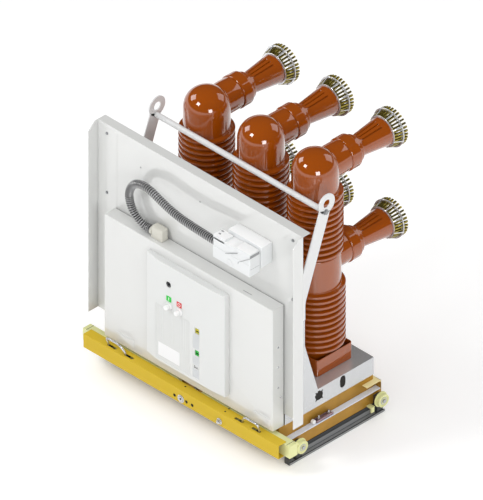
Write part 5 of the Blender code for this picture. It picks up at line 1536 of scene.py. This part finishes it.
class BREAKER_OT_truck(bpy.types.Operator):
    """Build the truck body, its rails, wheels, slide bars and interlock"""

    bl_idname = "breaker.truck"
    bl_label = "Truck"

    def execute(self, context):
        softened("truck_pan", "truck_body", "truck_zinc", ROOT, 0.0010, 2)
        softened("interlock_arm", "interlock_lever", "cream_zinc", ROOT, 0.0008, 2)
        rear = from_poles(0.0660)
        length, low, thick = 0.0160, 0.0340, 0.0014
        blade = soft_box((0.3412, 0.3600), (rear, rear + length), (low, low + thick), 0.0005, 2)
        piece("interlock_blade", [blade], "cream_zinc", ROOT)
        dress("bright_steel", "screw_nut")
        for label, side in SIDES.items():
            rail, slide = "rail_" + label, "slide_bar_" + label
            softened("side_" + rail, rail, "dark_steel", ROOT, 0.0005)
            softened("slide_strip_" + label, slide, "slide_steel", ROOT, 0.0006)
            self.bracket(label)
            self.paint_rail_light(label, side)
            self.flange(label, side)
            for place, distance in (("front", -0.2085), ("rear", 0.1048)):
                self.wheel(place + "_" + label, side, from_poles(distance))
        return {"FINISHED"}

    def paint_rail_light(self, label, side):
        """Strips painted on a dark rail where it shows light: a lighter lip for the light on its edge, a
        painted reflection on its web, and painted light on its foot, which lies in shadow.
        """
        across = (side * 0.3590, side * 0.35945)
        along = (from_poles(-0.2484), from_poles(0.1205))
        lip = soft_box(across, along, (0.0003, 0.0068), 0.0001, 1)
        piece("rail_lip_" + label, [lip], "lip_steel_painted_light", ROOT)
        along = (from_poles(-0.2470), from_poles(0.1190))
        web = (side * 0.34245, side * 0.34285), along, (0.0045, 0.0175)
        foot = (side * 0.34300, side * 0.35350), along, (0.0028, 0.0033)
        bands = [soft_box(*span, 0.00015, 1) for span in (web, foot)]
        piece("rail_painted_bands_" + label, bands, "rail_grey_painted_light", ROOT)

    def flange(self, label, side):
        """Flange at the rear end of the truck's side: a wide step and a narrow one, in a paler copy of
        the truck's zinc that paints the light on its top.
        """
        grids = []
        outer, rear, top = 0.3410, 0.1248, 0.0925
        for inner, near, low in ((0.2960, 0.0700, 0.0907), (0.3226, 0.1225, 0.0684)):
            across = (side * inner, side * outer)
            along = (from_poles(near), from_poles(rear))
            grids.append(soft_box(across, along, (low, top), 0.0005, 2))
        piece("rear_flange_" + label, grids, "truck_zinc_painted_light", ROOT)

    def bracket(self, label):
        """Roller bracket: a folded strip with two pins and a white roller."""
        node = "roller_bracket_" + label
        low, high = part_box(node)
        middle, floor = (low[0] + high[0]) / 2.0, low[2]
        sheet = 0.0028
        half, fold, top = 0.0070, 0.0022, floor + 0.0080
        near, far = from_poles(-0.1220), from_poles(-0.0570)
        along, left, right = (near, far), middle - half, middle + half
        block = (middle - 0.0040, middle + 0.0040), (near + 0.0140, far - 0.0060)
        grids = [
            soft_box((left, right), along, (floor, floor + sheet), 0.0008, 3),
            soft_box((left, left + fold), along, (floor, top), 0.0007, 3),
            soft_box((right - fold, right), along, (floor, top), 0.0007, 3),
            soft_box(*block, (floor + 0.0020, floor + 0.0060), 0.0008, 3),
        ]
        piece("roller_strip_" + label, grids, "purple_zinc", ROOT, (node,))
        collar, stem, tip = 0.0046, 0.0030, floor + 0.0179
        profile = [
            (0.0, floor + 0.0020), (collar, floor + 0.0020), (collar, floor + 0.0085),
            (stem, floor + 0.0088), (stem, tip - 0.0007), (stem - 0.0006, tip), (0.0, tip),
        ]
        pins = [
            revolve(profile, "Z", (middle, from_poles(distance), 0.0), 28)
            for distance in (-0.1080, -0.0700)
        ]
        piece("roller_pins_" + label, pins, "bright_steel", ROOT)
        radius, reach, edge = 0.0062, 0.0050, 0.0010
        roller = [(0.0, -reach), (radius - edge, -reach), (radius, edge - reach)]
        roller += [(radius, reach - edge), (radius - edge, reach), (0.0, reach)]
        grid = revolve(roller, "X", (middle, from_poles(-0.1290), floor + 0.0065), 36)
        piece("guide_roller_" + label, [grid], "white_mark", ROOT)

    def wheel(self, label, side, distance):
        """Flanged wheel with a dished face, and the cap of its axle."""
        name = "wheel_" + label
        start, end = side * 0.3572, side * 0.3720
        centre = (0.0, distance, 0.0475)
        bore, tread, flange = 0.00508, 0.0200, 0.0235
        profile = [
            (bore, start), (0.0230, start), (flange, start + side * 0.0006),
            (flange, start + side * 0.0025), (0.0228, start + side * 0.0030),
            (0.0203, start + side * 0.0031), (tread, start + side * 0.0040),
            (tread, end - side * 0.0012), (0.0192, end - side * 0.0003), (0.0184, end),
            (0.0150, end), (0.0144, end - side * 0.0012), (0.0092, end - side * 0.0012),
            (0.0086, end), (bore, end), (bore, start),
        ]
        grid = revolve(profile, "X", centre, 96)
        piece("flanged_" + name, [grid], "cream_zinc", name, (name,))
        hub = disc("X", centre, 0.0112, end - side * 0.0040, end - side * 0.0002, 0.0003, 48)
        piece("wheel_hub_" + label, [hub], "hub_steel", name)
        low = end + side * GAP
        cap = disc("X", centre, 0.0056, low - side * 0.0020, low + side * 0.0028, 0.0004, 32)
        piece("axle_cap_" + label, [cap], "hub_steel", ROOT)


# Housing and the drive inside it

class BREAKER_OT_housing(bpy.types.Operator):
    """Build the grey housing and dress the drive inside it"""

    bl_idname = "breaker.housing"
    bl_label = "Housing and drive"

    def execute(self, context):
        softened("housing_shell", "housing", "housing_coat", ROOT, 0.0010, 3)
        inner, outer = 0.3240, 0.3262
        turn = np.linspace(0.0, 2.0 * np.pi, 96, endpoint=False)
        lobes = np.clip(np.cos(4.0 * (turn - np.pi / 4.0)), 0.0, 1.0) ** 6
        waist, lobe = 0.0138, 0.0068
        reach = waist + lobe * lobes
        spots = np.stack((reach * np.cos(turn), reach * np.sin(turn)), axis=1)
        cross = spots + (from_poles(-0.1005), 0.1454)
        slot = round_rect(0.0200, 0.0350, 0.0098, (from_poles(-0.0095), 0.1462), 9)
        # dark plates over the side openings: painted shade for the dark inside of the housing
        holes = []
        for side in SIDES.values():
            for outline in (cross, slot):
                holes.append(plate(outline, "X", side * inner, side * outer, 0.0001))
        piece("housing_openings", holes, "hole_painted_shade", ROOT)
        dress("ceramic", *["interrupter_" + label for label in POLES])
        dress("rod_laminate", *["pull_rod_" + label for label in POLES])
        dress("dark_steel", "main_shaft", "closing_spring")
        dress("motor_paint", "charging_motor")
        return {"FINISHED"}


class BREAKER_PT_pieces(bpy.types.Panel):
    """Sizes, colours and building steps of the breaker"""

    bl_idname = "BREAKER_PT_pieces"
    bl_label = "Circuit breaker"
    bl_space_type = "VIEW_3D"
    bl_region_type = "UI"
    bl_category = "Breaker"

    def draw(self, context):
        scene = context.scene
        for group in (
            scene.breaker_poles, scene.breaker_cable, scene.breaker_colours, scene.breaker_stage,
        ):
            box = self.layout.box()
            for name in group.__annotations__:
                box.prop(group, name)
        for step in STEPS:
            self.layout.operator(step.bl_idname)


GROUPS = {
    "breaker_poles": PoleSizes,
    "breaker_cable": CableSizes,
    "breaker_colours": FinishColours,
    "breaker_stage": StageSizes,
}
STEPS = (
    BREAKER_OT_finishes, BREAKER_OT_stage, BREAKER_OT_cable, BREAKER_OT_poles, BREAKER_OT_sleeves,
    BREAKER_OT_contacts, BREAKER_OT_panel, BREAKER_OT_cover, BREAKER_OT_fascia, BREAKER_OT_beam,
    BREAKER_OT_truck, BREAKER_OT_housing,
)


def register():
    """Make the sizes, the building steps and the panel known to Blender."""
    for kind in (*GROUPS.values(), *STEPS, BREAKER_PT_pieces):
        bpy.utils.register_class(kind)
    for name, kind in GROUPS.items():
        setattr(bpy.types.Scene, name, PointerProperty(type=kind))


def unregister():
    """Undo what register does, in reverse."""
    for name in GROUPS:
        delattr(bpy.types.Scene, name)
    for kind in reversed((*GROUPS.values(), *STEPS, BREAKER_PT_pieces)):
        bpy.utils.unregister_class(kind)


def main():
    """Build every piece in order."""
    register()
    for step in STEPS:
        group, name = step.bl_idname.split(".")
        if getattr(getattr(bpy.ops, group), name)() != {"FINISHED"}:
            raise RuntimeError("this step did not finish: " + step.bl_label)


if __name__ == "__main__":
    main()
